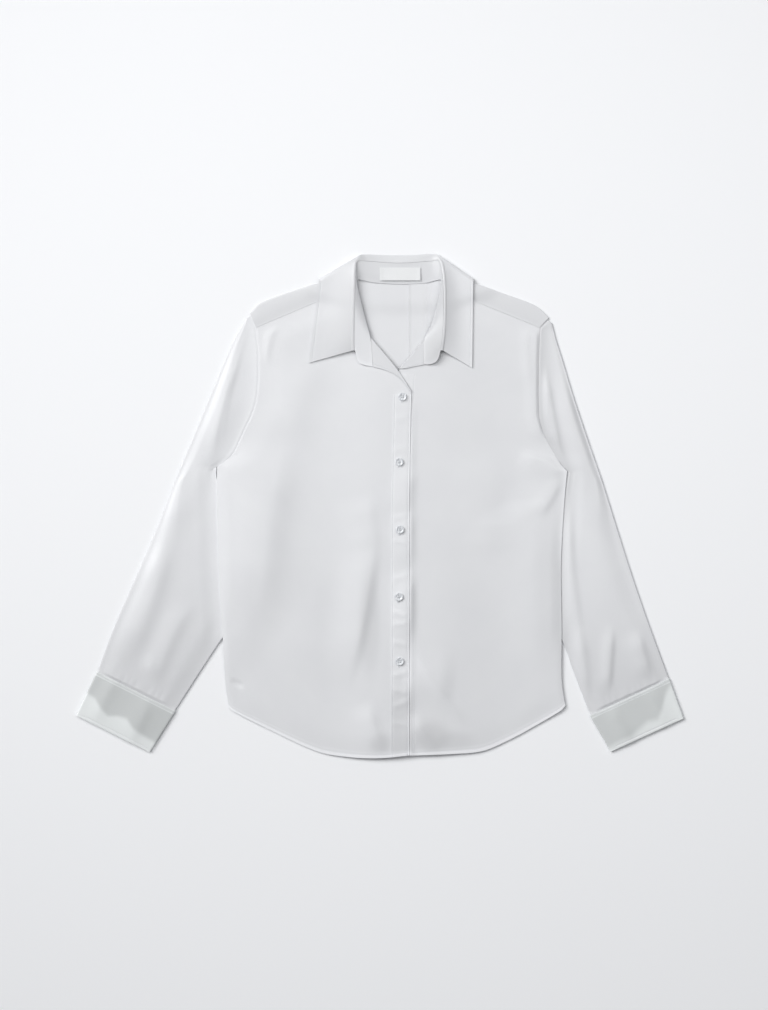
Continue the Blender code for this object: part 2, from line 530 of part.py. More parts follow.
def make_sleeve(name, sections, top_edge, armhole, tip):
    """A flattened tube: open along the armhole, closed by a fold from the underarm to the cuff."""
    sections = np.array(sections, dtype=float)
    side = np.sign(tip[0])
    seam = np.vstack([[np.array(tip) - (0.0, HEAD_DROP)], run(armhole, ROWS_ARMHOLE)[::-1]])
    seam = seam + outward_of(seam, (side, -0.2)) * ARMHOLE_GAP
    seam[-1] = (armhole[0][0] + side * UNDERARM_GAP, armhole[0][1])
    outer = np.vstack([run(top_edge, len(seam))[:-1], sections[:, :2]])
    inner = np.vstack([seam, sections[:, 2:]])
    columns = np.linspace(0, 1, SLEEVE_STEPS + 1)
    plan = loft(outer, inner, columns)

    body_edge = across(SLEEVE_BODY_RIGHT if side < 0 else SLEEVE_BODY_LEFT, plan[..., 1])
    clear = np.abs(plan[..., 0]) - np.abs(body_edge)
    crown = smoothstep(columns / SLEEVE_SHOULDER) * smoothstep((1 - columns) / SLEEVE_SHOULDER)
    free = smoothstep((clear - SLEEVE_EDGE_FLAT) / SLEEVE_EDGE_RAMP) * crown[None]
    low = np.full(plan.shape[:2], FLOOR_LAYER)
    top = low + SLEEVE_LAYERS + free * (SLEEVE_LOFT + folds(SLEEVE_FOLDS, plan[..., 0], plan[..., 1]))
    top[-1] = np.minimum(top[-1], FLOOR_LAYER + CUFF_LAYERS)

    outer_fold = half_bend(plan[:, 0], inner_side(plan[:, 0], plan[:, 1]), low[:, 0], top[:, 0], 2)
    below = slice(len(seam) - 1, None)
    inner_fold = half_bend(plan[below, -1], inner_side(plan[below, -1], plan[below, -2]),
                           low[below, -1], top[below, -1], 2)
    sheet(name, [np.dstack([plan, top]), np.dstack([plan, low]), outer_fold, inner_fold], CLOTH, satin)


def inner_side(line, inside):
    """Unit normals of a line in plan, pointing away from the row beside it."""
    tangent = np.gradient(line, axis=0)
    normal = np.stack([tangent[:, 1], -tangent[:, 0]], axis=1)
    normal /= np.linalg.norm(normal, axis=1)[:, None]
    away = np.sign(np.sum(normal * (line - inside), axis=1))
    return normal * away[:, None]


def make_cuff(name, corners, satin_here):
    seam_outer, seam_inner, open_outer, open_inner = [np.array(c, dtype=float) for c in corners]
    columns = np.linspace(0, 1, CUFF_STEPS + 1)
    outer = np.linspace(seam_outer, open_outer, CUFF_ROWS + 1)
    inner = np.linspace(seam_inner, open_inner, CUFF_ROWS + 1)
    plan = loft(outer, inner, columns)
    low = np.full(plan.shape[:2], DOUBLE / 2)
    crown = smoothstep(columns / CUFF_SHOULDER) * smoothstep((1 - columns) / CUFF_SHOULDER)
    top = low + CUFF_LAYERS + CUFF_LOFT * crown[None, :]
    folds_at = [half_bend(plan[:, k], inner_side(plan[:, k], plan[:, m]), low[:, k], top[:, k], 3)
                for k, m in ((0, 1), (-1, -2))]
    sheet(name, [np.dstack([plan, top]), np.dstack([plan, low])] + folds_at, DOUBLE, satin_here)


def make_stand():
    seam = run(STAND_SEAM, COLLAR_STEPS)
    top = run(STAND_TOP, COLLAR_STEPS)
    on_front = seam[:, 1] < STAND_ON_FRONT_Y
    seat = height_front(seam[:, 0], seam[:, 1]) + STAND_SEAT
    seam[on_front, 2] = np.maximum(seam[on_front, 2], seat[on_front])
    fractions = np.linspace(0, 1, STAND_ROWS + 1)

    def end_curve(plan, foot, tip):
        plan = run(plan, STAND_ROWS)
        return np.column_stack([plan, foot + (tip - foot) * fractions])

    start = end_curve(STAND_END_RIGHT, seam[0, 2], top[0, 2])
    end = end_curve(STAND_END_LEFT, seam[-1, 2], top[-1, 2])
    grid = loft(seam, top, fractions, start, end, STAND_END_REACH)
    sheet("collar_stand", [grid], DOUBLE, satin)
    return grid


def fold_round(points, corner, side_corner, top_z, low_z):
    """Carries what lies beyond the line from corner to side_corner round it, to lie beneath."""
    corner, side_corner = np.array(corner), np.array(side_corner)
    along = (side_corner - corner) / np.linalg.norm(side_corner - corner)
    normal = np.array([-along[1], along[0]])
    if normal[1] < 0:
        normal = -normal
    out = np.empty(points.shape[:-1] + (3,))
    for index in np.ndindex(points.shape[:-1]):
        off = points[index] - corner
        beyond, s = off @ normal, off @ along
        high = top_z[index]
        radius = (high - low_z) / 2
        if beyond <= 0:
            out[index] = (*points[index], high)
        elif beyond < math.pi * radius:
            angle = beyond / radius
            out[index] = (*(corner + along * s + normal * radius * math.sin(angle)),
                          low_z + radius * (1 + math.cos(angle)))
        else:
            out[index] = (*(corner + along * s - normal * (beyond - math.pi * radius)), low_z)
    return out


def mirrored(point, corner, side_corner):
    corner, side_corner, point = np.array(corner), np.array(side_corner), np.array(point, dtype=float)
    along = (side_corner - corner) / np.linalg.norm(side_corner - corner)
    off = point - corner
    return corner + 2 * (off @ along) * along - off


def make_fall(stand):
    """The fall: it starts at the stand's upper edge, rolls over and lies on the fronts and beneath the back."""
    low_z = DOUBLE / 2
    edge = stand[:, -1]
    below = stand[:, -2]
    along = np.gradient(edge, axis=0)
    along /= np.linalg.norm(along, axis=1)[:, None]
    rise = edge - below
    rise -= along * np.sum(rise * along, axis=1)[:, None]
    rise /= np.linalg.norm(rise, axis=1)[:, None]
    first_row = edge + rise * FALL_SEAM_GAP
    centre = len(edge) // 2
    halves = []
    for side, tip, side_corner, top_corner in (
        (slice(0, centre + 1), FALL_TIP_RIGHT, FALL_SIDE_CORNER_RIGHT, FALL_TOP_CORNER_RIGHT),
        (slice(len(edge) - 1, centre - 1, -1), FALL_TIP_LEFT, FALL_SIDE_CORNER_LEFT, FALL_TOP_CORNER_LEFT),
    ):
        sign = np.sign(tip[0])
        start = first_row[side]
        lying = start[:, :2].copy()
        away = outward_of(lying, (sign, 0))
        away *= np.sign(np.sum(away * (lying - np.array([0.0, NECK_CENTRE_Y])), axis=1))[:, None]
        flat_inner, flat_outer = [], []
        corner_at = int(np.argmin(np.linalg.norm(lying - np.array(top_corner), axis=1)))
        count = len(lying)
        tip_share, corner_share, middle_y = FALL_EDGE_MIDDLE
        middle = (tip[0] * tip_share + side_corner[0] * corner_share, middle_y)
        outer_front = run((tip, middle, side_corner), corner_at)
        back_start = side_corner[1] - FALL_BACK_INSET
        outer_back = [np.array([side_corner[0] * (1 - t),
                                back_start + (FALL_BACK_EDGE_Y - back_start) * math.sin(t * math.pi / 2)])
                      for t in np.linspace(0, 1, count - corner_at)]
        for k in range(count):
            if k <= corner_at:
                flat_inner.append(lying[k] + away[k] * FALL_ROLL)
                flat_outer.append(outer_front[k])
            else:
                flat_inner.append(mirrored(lying[k] + np.array([0, FALL_BACK_DROP]), top_corner, side_corner))
                flat_outer.append(mirrored(outer_back[k - corner_at], top_corner, side_corner))
        flat_inner, flat_outer = np.array(flat_inner), np.array(flat_outer)
        fractions = np.linspace(0, 1, FALL_ROWS + 1)
        plan = np.stack([flat_inner + (flat_outer - flat_inner) * t for t in fractions], axis=1)
        ground = top_of_fronts(plan[..., 0], np.minimum(plan[..., 1], FALL_FRONT_Y)) + DOUBLE / 2 + FALL_AIR
        ridge = np.maximum(start[:, 2][:, None] - FALL_RIDGE_DROP - ground, 0.0)
        top_z = ground + ridge * (1 - fractions[None, :]) ** FALL_CROWN
        half = fold_round(plan, top_corner, side_corner, top_z, low_z)
        bulge = (start + half[:, 0]) / 2
        bulge[:, :2] += away * FALL_ROLL_OUT
        bulge[:, 2] += FALL_ROLL_UP
        roll = np.stack([start, bulge], axis=1)
        halves.append(np.concatenate([roll, half], axis=1))
    joint = (halves[0][-1] + halves[1][-1]) / 2
    joint[:, 0] = 0.0
    halves[0][-1] = joint
    halves[1][-1] = joint
    sheet("collar_fall", halves, DOUBLE, satin)


def make_button_mesh():
    """A round button with a raised rim and four holes, standing on the origin."""
    mesh = bpy.data.meshes.new("button_profile")
    links = [(i, i + 1) for i in range(len(BUTTON_SECTION) - 1)]
    mesh.from_pydata([(x * MM, 0, z * MM) for x, z in BUTTON_SECTION], links, [])
    turned = bpy.data.objects.new("button_profile", mesh)
    garment.objects.link(turned)
    screw = turned.modifiers.new("turn", "SCREW")
    screw.steps = BUTTON_TURNS
    screw.render_steps = BUTTON_TURNS
    screw.use_merge_vertices = True
    screw.merge_threshold = WELD / 2 * MM
    for k in range(4):
        angle = math.pi / 4 + k * math.pi / 2
        place = BUTTON_HOLE_PLACE * MM
        bpy.ops.mesh.primitive_cylinder_add(
            vertices=BUTTON_HOLE_SIDES, radius=BUTTON_HOLE_RADIUS * MM, depth=3 * BUTTON_HEIGHT * MM,
            location=(place * math.cos(angle), place * math.sin(angle), 0))
        hole = bpy.context.object
        hole.name = f"button_hole_{k + 1}"
        hole.hide_render = True
        hole.display_type = "WIRE"
        for owner in list(hole.users_collection):
            owner.objects.unlink(hole)
        cutters.objects.link(hole)
        cut = turned.modifiers.new(f"hole_{k + 1}", "BOOLEAN")
        cut.operation = "DIFFERENCE"
        cut.object = hole
    bpy.context.view_layer.update()
    seen = turned.evaluated_get(bpy.context.evaluated_depsgraph_get())
    finished = bpy.data.meshes.new_from_object(seen)
    finished.name = "button"
    bpy.data.objects.remove(turned)
    finished.materials.clear()
    finished.materials.append(pearl)
    return finished


def place_button(name, mesh, location, tilt=(0, 0, 0)):
    button = bpy.data.objects.new(name, mesh)
    garment.objects.link(button)
    button.location = [c * MM for c in location]
    button.rotation_euler = tilt


def make_label(stand):
    """A bare ribbon on the inner face of the stand, at the centre back."""
    x = np.linspace(-LABEL_HALF_WIDTH, LABEL_HALF_WIDTH, LABEL_COLUMNS)
    y = np.array(LABEL_Y)
    foot = stand[:, 0]
    at_back = (np.abs(foot[:, 0]) < LABEL_HALF_WIDTH + LABEL_REACH) & (foot[:, 1] > LABEL_Y[0] - LABEL_FOOT)
    under = stand[at_back]
    height = under[..., 2].max() + DOUBLE / 2 + GAP + LABEL_WALL / 2
    grid = np.zeros((2, len(x), 3))
    grid[..., 0] = x[None]
    grid[..., 1] = y[:, None]
    grid[..., 2] = height
    sheet("neck_label", [grid], LABEL_WALL, ribbon)


for old in list(bpy.data.objects):
    bpy.data.objects.remove(old, do_unlink=True)
garment = bpy.data.collections.new("blouse")
bpy.context.scene.collection.children.link(garment)
cutters = bpy.data.collections.new("cutters")
bpy.context.scene.collection.children.link(cutters)

satin = material("satin", (0.72, 0.73, 0.76), 0.38)
cuff_satin = material("cuff_satin", (0.6, 0.62, 0.64), 0.34)
ribbon = material("ribbon", (0.86, 0.87, 0.88), 0.5)
pearl = material("pearl", (0.8, 0.8, 0.82), 0.25)

make_back()
band_right = make_front("front_right", SIDE_RIGHT, ARMHOLE_RIGHT, EDGE_RIGHT, ROLL_RIGHT, NECK_RIGHT,
                        LAPEL_EDGE_RIGHT, YOKE_SEAM_RIGHT, True, 1)
band_left = make_front("front_left", SIDE_LEFT, ARMHOLE_LEFT, EDGE_LEFT, ROLL_LEFT, NECK_LEFT,
                       LAPEL_EDGE_LEFT, YOKE_SEAM_LEFT, False, -1)
sheet("placket_right", [band_right], CLOTH, satin)
sheet("placket_left", [band_left], CLOTH, satin)
make_sleeve("sleeve_right", SLEEVE_RIGHT, SLEEVE_TOP_RIGHT, ARMHOLE_RIGHT, SHOULDER_TIP_RIGHT)
make_sleeve("sleeve_left", SLEEVE_LEFT, SLEEVE_TOP_LEFT, ARMHOLE_LEFT, SHOULDER_TIP_LEFT)
make_cuff("cuff_right", CUFF_RIGHT, cuff_satin)
make_cuff("cuff_left", CUFF_LEFT, cuff_satin)
stand_grid = make_stand()
make_fall(stand_grid)
make_label(stand_grid)

button_mesh = make_button_mesh()
for number, (x, y) in enumerate(BUTTONS, start=1):
    near_x = np.array([x - BUTTON_REACH, x, x + BUTTON_REACH])
    around = height_front(near_x, np.full(3, y), True).max()
    place_button(f"button_{number}", button_mesh, (x, y, around + LAYER + CLOTH / 2 + GAP))
stand_points = stand_grid.reshape(-1, 3)
near = np.argsort(np.linalg.norm(stand_points[:, :2] - np.array(STAND_BUTTON), axis=1))[:STAND_BUTTON_NEAR]
patch = stand_points[near]
slope = np.linalg.lstsq(np.column_stack([patch[:, :2], np.ones(STAND_BUTTON_NEAR)]), patch[:, 2], rcond=None)[0]
upward = np.array([-slope[0], -slope[1], 1.0])
upward /= np.linalg.norm(upward)
seat = np.array([*STAND_BUTTON, slope @ (*STAND_BUTTON, 1.0)]) - upward * (DOUBLE / 2 + GAP + STAND_BUTTON_AIR)
tilt = Vector((0, 0, 1)).rotation_difference(Vector(-upward)).to_euler()
place_button("button_stand", button_mesh, seat, tilt)
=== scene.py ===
import math

import bpy
import bmesh
import numpy as np
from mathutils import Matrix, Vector
from numpy.linalg import norm


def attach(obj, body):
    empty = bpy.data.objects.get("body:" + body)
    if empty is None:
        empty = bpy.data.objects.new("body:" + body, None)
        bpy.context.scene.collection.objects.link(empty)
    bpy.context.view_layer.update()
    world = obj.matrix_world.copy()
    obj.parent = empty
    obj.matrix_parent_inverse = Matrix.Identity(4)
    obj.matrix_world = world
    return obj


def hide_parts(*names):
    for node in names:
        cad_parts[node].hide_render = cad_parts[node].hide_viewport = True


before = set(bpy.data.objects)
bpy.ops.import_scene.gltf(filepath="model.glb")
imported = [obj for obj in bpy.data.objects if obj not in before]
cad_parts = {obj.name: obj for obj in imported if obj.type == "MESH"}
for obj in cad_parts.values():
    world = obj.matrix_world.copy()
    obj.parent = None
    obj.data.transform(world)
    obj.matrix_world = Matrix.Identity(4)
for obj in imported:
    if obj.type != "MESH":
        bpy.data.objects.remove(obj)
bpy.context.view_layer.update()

# A satin blouse laid flat on its back. Sizes are in millimetres, and mm turns them into metres.
# Right and left are the wearer's, so the right side lies at -X. Y runs to the collar, Z is up.
mm = 0.001

layers = {
    "floorLayer": 0.5,     # middle of the lowest layer above the surface
    "layer": 1.35,         # from one layer to the next one
    "wall": 0.6,           # satin as it is drawn
    "doubleWall": 1.3,     # stand, fall and cuffs, which are interfaced
    "loft": 1.1,           # air between front and back away from the seams
    "foldDepth": 1.5,      # how deep all the folds of fronts and sleeves are
    "bandLift": 0.7,       # from a front up to its button band
    "overLift": 1.42,      # from the left front up to the right one, at the bands
}

body = {
    "sideRight": ((-239.4, -332), (-244, -301), (-248, -234), (-251, -182), (-254, -126), (-256, -42),
                  (-256, 4)),
    "sideLeft": ((231, -330), (226, -294), (226, -221), (225, -136), (227, -84), (231, -28), (233.8, -2)),
    "armholeRight": ((-256, 4), (-235, 21), (-218.8, 53), (-201.6, 94), (-197.4, 154), (-201.6, 199.1)),
    "armholeLeft": ((233.8, -2), (224, 9), (202, 47.6), (194, 75), (193.5, 150), (195.4, 199.1)),
    "tipRight": (-209.5, 218.5),
    "tipLeft": (207.5, 212.5),
    "hem": ((-239.4, -332), (-233, -338), (-177, -366), (-115, -394), (-77, -401), (-34, -403), (17, -399.5),
            (76, -397), (116, -393), (154, -377), (185.5, -360), (225, -336.5), (231, -330)),
    "backHemRise": 4.0,
    "shoulderRight": ((-209.5, 218.5), (-201.2, 227.6), (-193.8, 233.5), (-155, 248), (-113, 260.5),
                      (-60.5, 266)),
    "shoulderLeft": ((58.5, 266), (101, 260.5), (151, 243.9), (186, 230.8), (198, 222.5), (207.5, 212.5)),
    "neckRight": ((-60.5, 266), (-54, 262.8), (-25, 260), (8, 259)),
    "neckLeft": ((44, 261.3), (58.5, 266)),
    "seamRight": ((-201.6, 199.1), (-124.6, 231.7), (-60.5, 257.5)),
    "seamLeft": ((195.4, 199.1), (104, 236.3), (58.5, 257.5)),
}

# the pleat's pair of colour values is painted shade at its upper fold and a painted highlight beside it
pleat = {"x": 14.0, "depth": 17.0, "start": 8.0, "end": 44.0, "lap": 3.0, "plyToneAndPaintedLight": (-1.8, 1.8),
         "swell": {"right": -112, "rightWidth": 106, "left": 150, "leftWidth": 102}}

# Where the back rises beneath the fall: its bowed edge, and the widths over which it rises and ends.
underFall = {"rise": 1.85, "bow": 16, "bowWidth": 108, "before": 32, "blend": 20, "halfWidth": 150,
             "fade": 26}

# Inner edges of the sleeves, x and y: tucked beneath the body first, then free down to the cuff.
tuck = {
    "right": ((-256.8, -13), (-246, -36), (-218, -60), (-197, -83), (-184, -109), (-188, -132), (-206, -172),
              (-227, -206), (-250, -236), (-280, -281), (-315.2, -335.6)),
    "left": ((233.4, -14), (223, -42), (197, -58), (172, -77), (158, -103), (162, -131), (177, -165),
             (200, -201), (227.5, -238), (243.5, -281), (266.9, -341.6)),
    "margin": 8.0,
    "ramp": 72.0,
    "lift": 2.4,
    "above": (44.0, 58.0),
}


def smooth(t):
    t = np.clip(t, 0.0, 1.0)
    return t * t * (3 - 2 * t)


def ramp(past, width):
    # rises softly from 0 to 1 over a width
    return smooth(past / width)


def hump(off, width):
    return np.exp(-((off / width) ** 2))


def evenly(steps):
    return np.linspace(0, 1, steps + 1)


def finePoints(points, rounded):
    # a dense line through the given points, as a smooth curve or with straight stretches
    points = np.array(points, dtype=float)
    fine = [points[0]]
    for i in range(len(points) - 1):
        before, start = points[max(i - 1, 0)], points[i]
        end, after = points[i + 1], points[min(i + 2, len(points) - 1)]
        span = norm(end - start)
        leanIn = (end - before) / max(norm(end - before), 1e-6) * span
        leanOut = (after - start) / max(norm(after - start), 1e-6) * span
        for t in evenly(24)[1:]:
            if rounded:
                fine.append((2 * t**3 - 3 * t**2 + 1) * start + (t**3 - 2 * t**2 + t) * leanIn
                            + (3 * t**2 - 2 * t**3) * end + (t**3 - t**2) * leanOut)
            else:
                fine.append(start + (end - start) * t)
    return np.array(fine)


def lengthsOf(line):
    return np.concatenate([[0], np.cumsum(norm(np.diff(line, axis=0), axis=1))])


def lineAt(points, places, rounded=True):
    # points of a curve at fractions of its length
    fine = finePoints(points, rounded)
    lengths = lengthsOf(fine)
    at = np.asarray(places) * lengths[-1]
    return np.stack([np.interp(at, lengths, fine[:, k]) for k in range(fine.shape[1])], axis=1)


def curveLength(points, rounded=True):
    return lengthsOf(finePoints(points, rounded))[-1]


hemFine = finePoints(body["hem"], True)


def hemY(x):
    # the hem as one smooth curve
    return np.interp(x, hemFine[:, 0], hemFine[:, 1])


def spread(length, near, count):
    # fractions of a length: close together at its start, then even
    near = np.array(near, dtype=float)
    return np.concatenate([near, np.linspace(near[-1], length, count + 1)[1:]]) / length


def between(first, last, places, startRow=None, endRow=None, reach=0.35):
    # grid between two edges, its first and last rows bent to given curves
    grid = first[:, None] + (last - first)[:, None] * np.asarray(places)[None, :, None]
    way = lengthsOf(first)
    way = (way / way[-1])[:, None, None]
    if startRow is not None:
        grid = grid + np.clip(1 - way / reach, 0, 1) ** 2 * (startRow - grid[0])[None]
    if endRow is not None:
        grid = grid + np.clip(1 - (1 - way) / reach, 0, 1) ** 2 * (endRow - grid[-1])[None]
    return grid


def normalsOf(line, towards, inside=None):
    # unit normals of a line, to one side, or away from another line
    tangent = np.gradient(line, axis=0)
    normal = np.stack([tangent[:, 1], -tangent[:, 0]], axis=1)
    normal /= norm(normal, axis=1)[:, None]
    if inside is None:
        return normal * np.sign(normal @ np.array(towards, dtype=float))[:, None]
    return normal * np.sign(np.sum(normal * (line - inside), axis=1))[:, None]


def awayFrom(line, inside):
    return normalsOf(line, None, inside)


def halfBend(line, outward, zFrom, zTo, steps):
    # rows round a fold, from the line at one height to the same line at the other
    radius = (zTo - zFrom) / 2
    rows = []
    for angle in np.linspace(0, math.pi, steps + 1):
        plan = line + outward * (np.abs(radius) * math.sin(angle))[:, None]
        rows.append(np.column_stack([plan, zFrom + radius * (1 - math.cos(angle))]))
    return np.array(rows)


def creaseHeight(table, x, y):
    # each row: from x, y to x, y, sideways bow, half width, rise, and lean towards one side
    total = np.zeros(np.shape(x))
    for x0, y0, x1, y1, bow, width, rise, lean in table:
        alongX, alongY = x1 - x0, y1 - y0
        length = math.hypot(alongX, alongY)
        t = ((x - x0) * alongX + (y - y0) * alongY) / length**2
        off = ((x - x0) * alongY - (y - y0) * alongX) / length
        off = off - bow * 4 * np.clip(t, 0, 1) * (1 - np.clip(t, 0, 1))
        fade = ramp(t + 0.12, 0.42) * ramp(1.12 - t, 0.42)
        reach = width * (1 + lean * np.sign(off))
        total = total + rise * fade * hump(off, reach)
    return total


def softUneven(x, y, size, rise):
    # slow swells that no laid cloth is free of
    return rise * (np.sin(x / size + 1.3) * np.sin(y / size * 0.8 + 0.4)
                   + 0.6 * np.sin((x + 0.7 * y) / size * 1.9 + 2.1) * np.sin((y - 0.4 * x) / size * 1.3))


def tuckEdge(side, y):
    rows = tuck[side]
    return np.interp(y, [row[1] for row in rows][::-1], [row[0] for row in rows][::-1])


def heightBack(x, y):
    right = ramp(tuckEdge("right", y) + tuck["margin"] + tuck["ramp"] - x, tuck["ramp"])
    left = ramp(x - tuckEdge("left", y) + tuck["margin"] + tuck["ramp"], tuck["ramp"])
    sideways = np.maximum(right, left) * ramp(tuck["above"][0] - y, tuck["above"][1])
    fallEdge = fall["backEdge"] + underFall["bow"] * (x / underFall["bowWidth"]) ** 2
    neck = ramp(y - fallEdge + underFall["before"], underFall["blend"])
    neck = neck * ramp(underFall["halfWidth"] - np.abs(x), underFall["fade"])
    return layers["floorLayer"] + tuck["lift"] * sideways + underFall["rise"] * neck


# Folds of the fronts, from the side seams to the bands: where the satin turns its gloss away.
frontCreases = (
    (-168, 24, -200, -196, 2, 40, 3.3, 0.35),
    (-44, -40, -38, -108, 0, 19, 0.9, 0.5),
    (-36, -96, -72, -290, -4, 22, 2.1, 0.6),
    (-44, -330, -24, -400, 2, 15, 1.5, 0.4),
    (16, 0, 6, -60, 0, 16, 1.2, 0.45),
    (13, -54, 13, -132, 0, 14, 1.1, 0.4),
    (13, -144, 12, -236, 0, 14, 1.8, 0.45),
    (8, -298, 72, -306, -4, 34, 1.7, -0.2),
    (24, -262, 90, -352, 3, 7, 1.1, 0),
    (18, -344, 56, -402, 2, 13, 2.2, 0.3),
    (236, 6, 170, 21, -2, 13, 1.4, -0.4),
    (226, -14, 196, -62, 0, 10, 1.0, 0.4),
    (196, -60, 198, -268, 2, 40, 1.3, -0.3),
    (128, 26, 120, -118, 3, 34, 1.3, 0.3),
    (-172, 206, -188, 150, 4, 8, 0.6, 0.2),
    (176, 200, 184, 120, 3, 9, 0.7, 0.3),
    (-120, 150, -150, 40, 10, 26, 1.0, 0),
    (-237, -294, -220, -303, 0, 3.2, -0.9, 0),
    (-112, -100, -124, -300, 6, 34, 1.0, 0.2),
)


def sideLimit(side, y):
    rows = body["side" + side] + body["armhole" + side][1:]
    return np.interp(y, [p[1] for p in rows], [p[0] for p in rows])


def pleatRise(x):
    # the fronts pass over the pleat in one wide soft swell
    swell = pleat["swell"]
    rise = 2 * layers["layer"] * ramp(x - swell["right"], swell["rightWidth"])
    return rise * ramp(swell["left"] - x, swell["leftWidth"])


# How a front lies: widths over which it rises from its seams, the ridge beside the left side seam, the swell
# where the left front comes out from beneath the right one, and the rise of the right front there.
frontShape = {
    "seamSlopes": (0.414, 0.427), "loftWidths": (42, 36), "foldWidths": (15, 18), "hemWidth": 36,
    "foldsAtHem": 0.35, "uneven": (46, 0.3), "sewnGap": 0.65, "sewnWidth": 7,
    "ridge": {"rise": 1.8, "at": 5, "outer": 3.6, "inner": 13, "above": 30},
    "swell": {"rise": 1.1, "edge": ((-60, 109), (12.8, 15.6)), "start": 1.2, "width": 9, "top": 100,
              "wave": 17},
    "over": {"from": -135, "width": 120, "top": 170, "fade": 60},
}


def shoulderY(x):
    # both shoulder seams as straight lines from the neck
    (rightX, rightY), (leftX, leftY) = body["seamRight"][-1], body["seamLeft"][-1]
    right, left = frontShape["seamSlopes"]
    return np.where(x < 0, rightY + (x - rightX) * right, leftY - (x - leftX) * left)


def heightFront(x, y, over=False):
    fromSide = np.minimum(x - sideLimit("Right", y), sideLimit("Left", y) - x)
    toSeam = shoulderY(x) - y
    (loftSide, loftTop), (foldSide, foldTop) = frontShape["loftWidths"], frontShape["foldWidths"]
    inward = ramp(fromSide, loftSide) * ramp(toSeam, loftTop)
    creased = ramp(fromSide - 1, foldSide) * ramp(toSeam - 2, foldTop)
    sewnDown = (layers["layer"] - frontShape["sewnGap"]) * (1 - ramp(fromSide, frontShape["sewnWidth"]))
    sewnDown = sewnDown * ramp(6 - y, 14)
    ridge = frontShape["ridge"]
    beside = hump(fromSide - ridge["at"], np.where(fromSide < ridge["at"], ridge["outer"], ridge["inner"]))
    beside = beside * (x > 0) * ramp(y - ridge["above"], 30) * ramp(toSeam - 2, 14)
    nearHem = ramp(y - hemY(x) + 2, frontShape["hemWidth"])
    loft = inward * nearHem * (layers["loft"] + softUneven(x, y, *frontShape["uneven"]))
    atHem = frontShape["foldsAtHem"]
    folds = creased * (atHem + (1 - atHem) * nearHem) * layers["foldDepth"]
    height = heightBack(x, y) + layers["layer"] - sewnDown + pleatRise(x) + loft + ridge["rise"] * beside
    height = height + folds * creaseHeight(frontCreases, x, y)
    if over:
        edge = frontShape["over"]
        rise = layers["overLift"] * ramp(x - edge["from"], edge["width"])
        return height + rise * ramp(edge["top"] - y, edge["fade"])
    # where the left front comes out from beneath the right one, it swells up beside its edge
    swell = frontShape["swell"]
    outside = x - np.interp(y, *swell["edge"])
    risen = ramp(outside + 0.3, swell["start"]) * (1 - ramp(outside - 2, swell["width"]))
    risen = swell["rise"] * (risen * ramp(swell["top"] - y, 20))
    return height + risen * (0.8 + 0.2 * np.sin(y / swell["wave"]))


# Materials: each starts from the real one, and colours are given as seen.
def seen(hexColour):
    parts = [int(hexColour[i:i + 2], 16) / 255 for i in (0, 2, 4)]
    return (*[c / 12.92 if c <= 0.04045 else ((c + 0.055) / 1.055) ** 2.4 for c in parts], 1.0)


def addNode(tree, kind, settings, links):
    # a node with its own settings, its socket values and what feeds its sockets
    node = tree.nodes.new(kind)
    for name, value in settings.items():
        if name in node.inputs:
            node.inputs[name].default_value = value
        else:
            setattr(node, name, value)
    for name, source in links.items():
        tree.links.new(source, node.inputs[name])
    return node


def newMaterial(name, finish):
    made = bpy.data.materials.new(name)
    made.use_nodes = True
    tree = made.node_tree
    shader = tree.nodes["Principled BSDF"]
    for socket, value in finish.items():
        shader.inputs[socket].default_value = value
    return made, tree, shader


def twoTones(tree, factor, first, second):
    tone = addNode(tree, "ShaderNodeMix", {"data_type": "RGBA"}, {"Factor": factor})
    tone.inputs[6].default_value = seen(first)
    tone.inputs[7].default_value = seen(second)
    return tone.outputs[2]


def reliefOf(tree, strength, depth, links):
    bump = addNode(tree, "ShaderNodeBump", {"Strength": strength, "Distance": depth * mm}, links)
    return bump.outputs["Normal"]


satinWeave = {"floatWidth": 0.35, "floatLength": 2.4, "floatDepth": 0.04, "cloud": 55.0, "cloudDepth": 1.2}


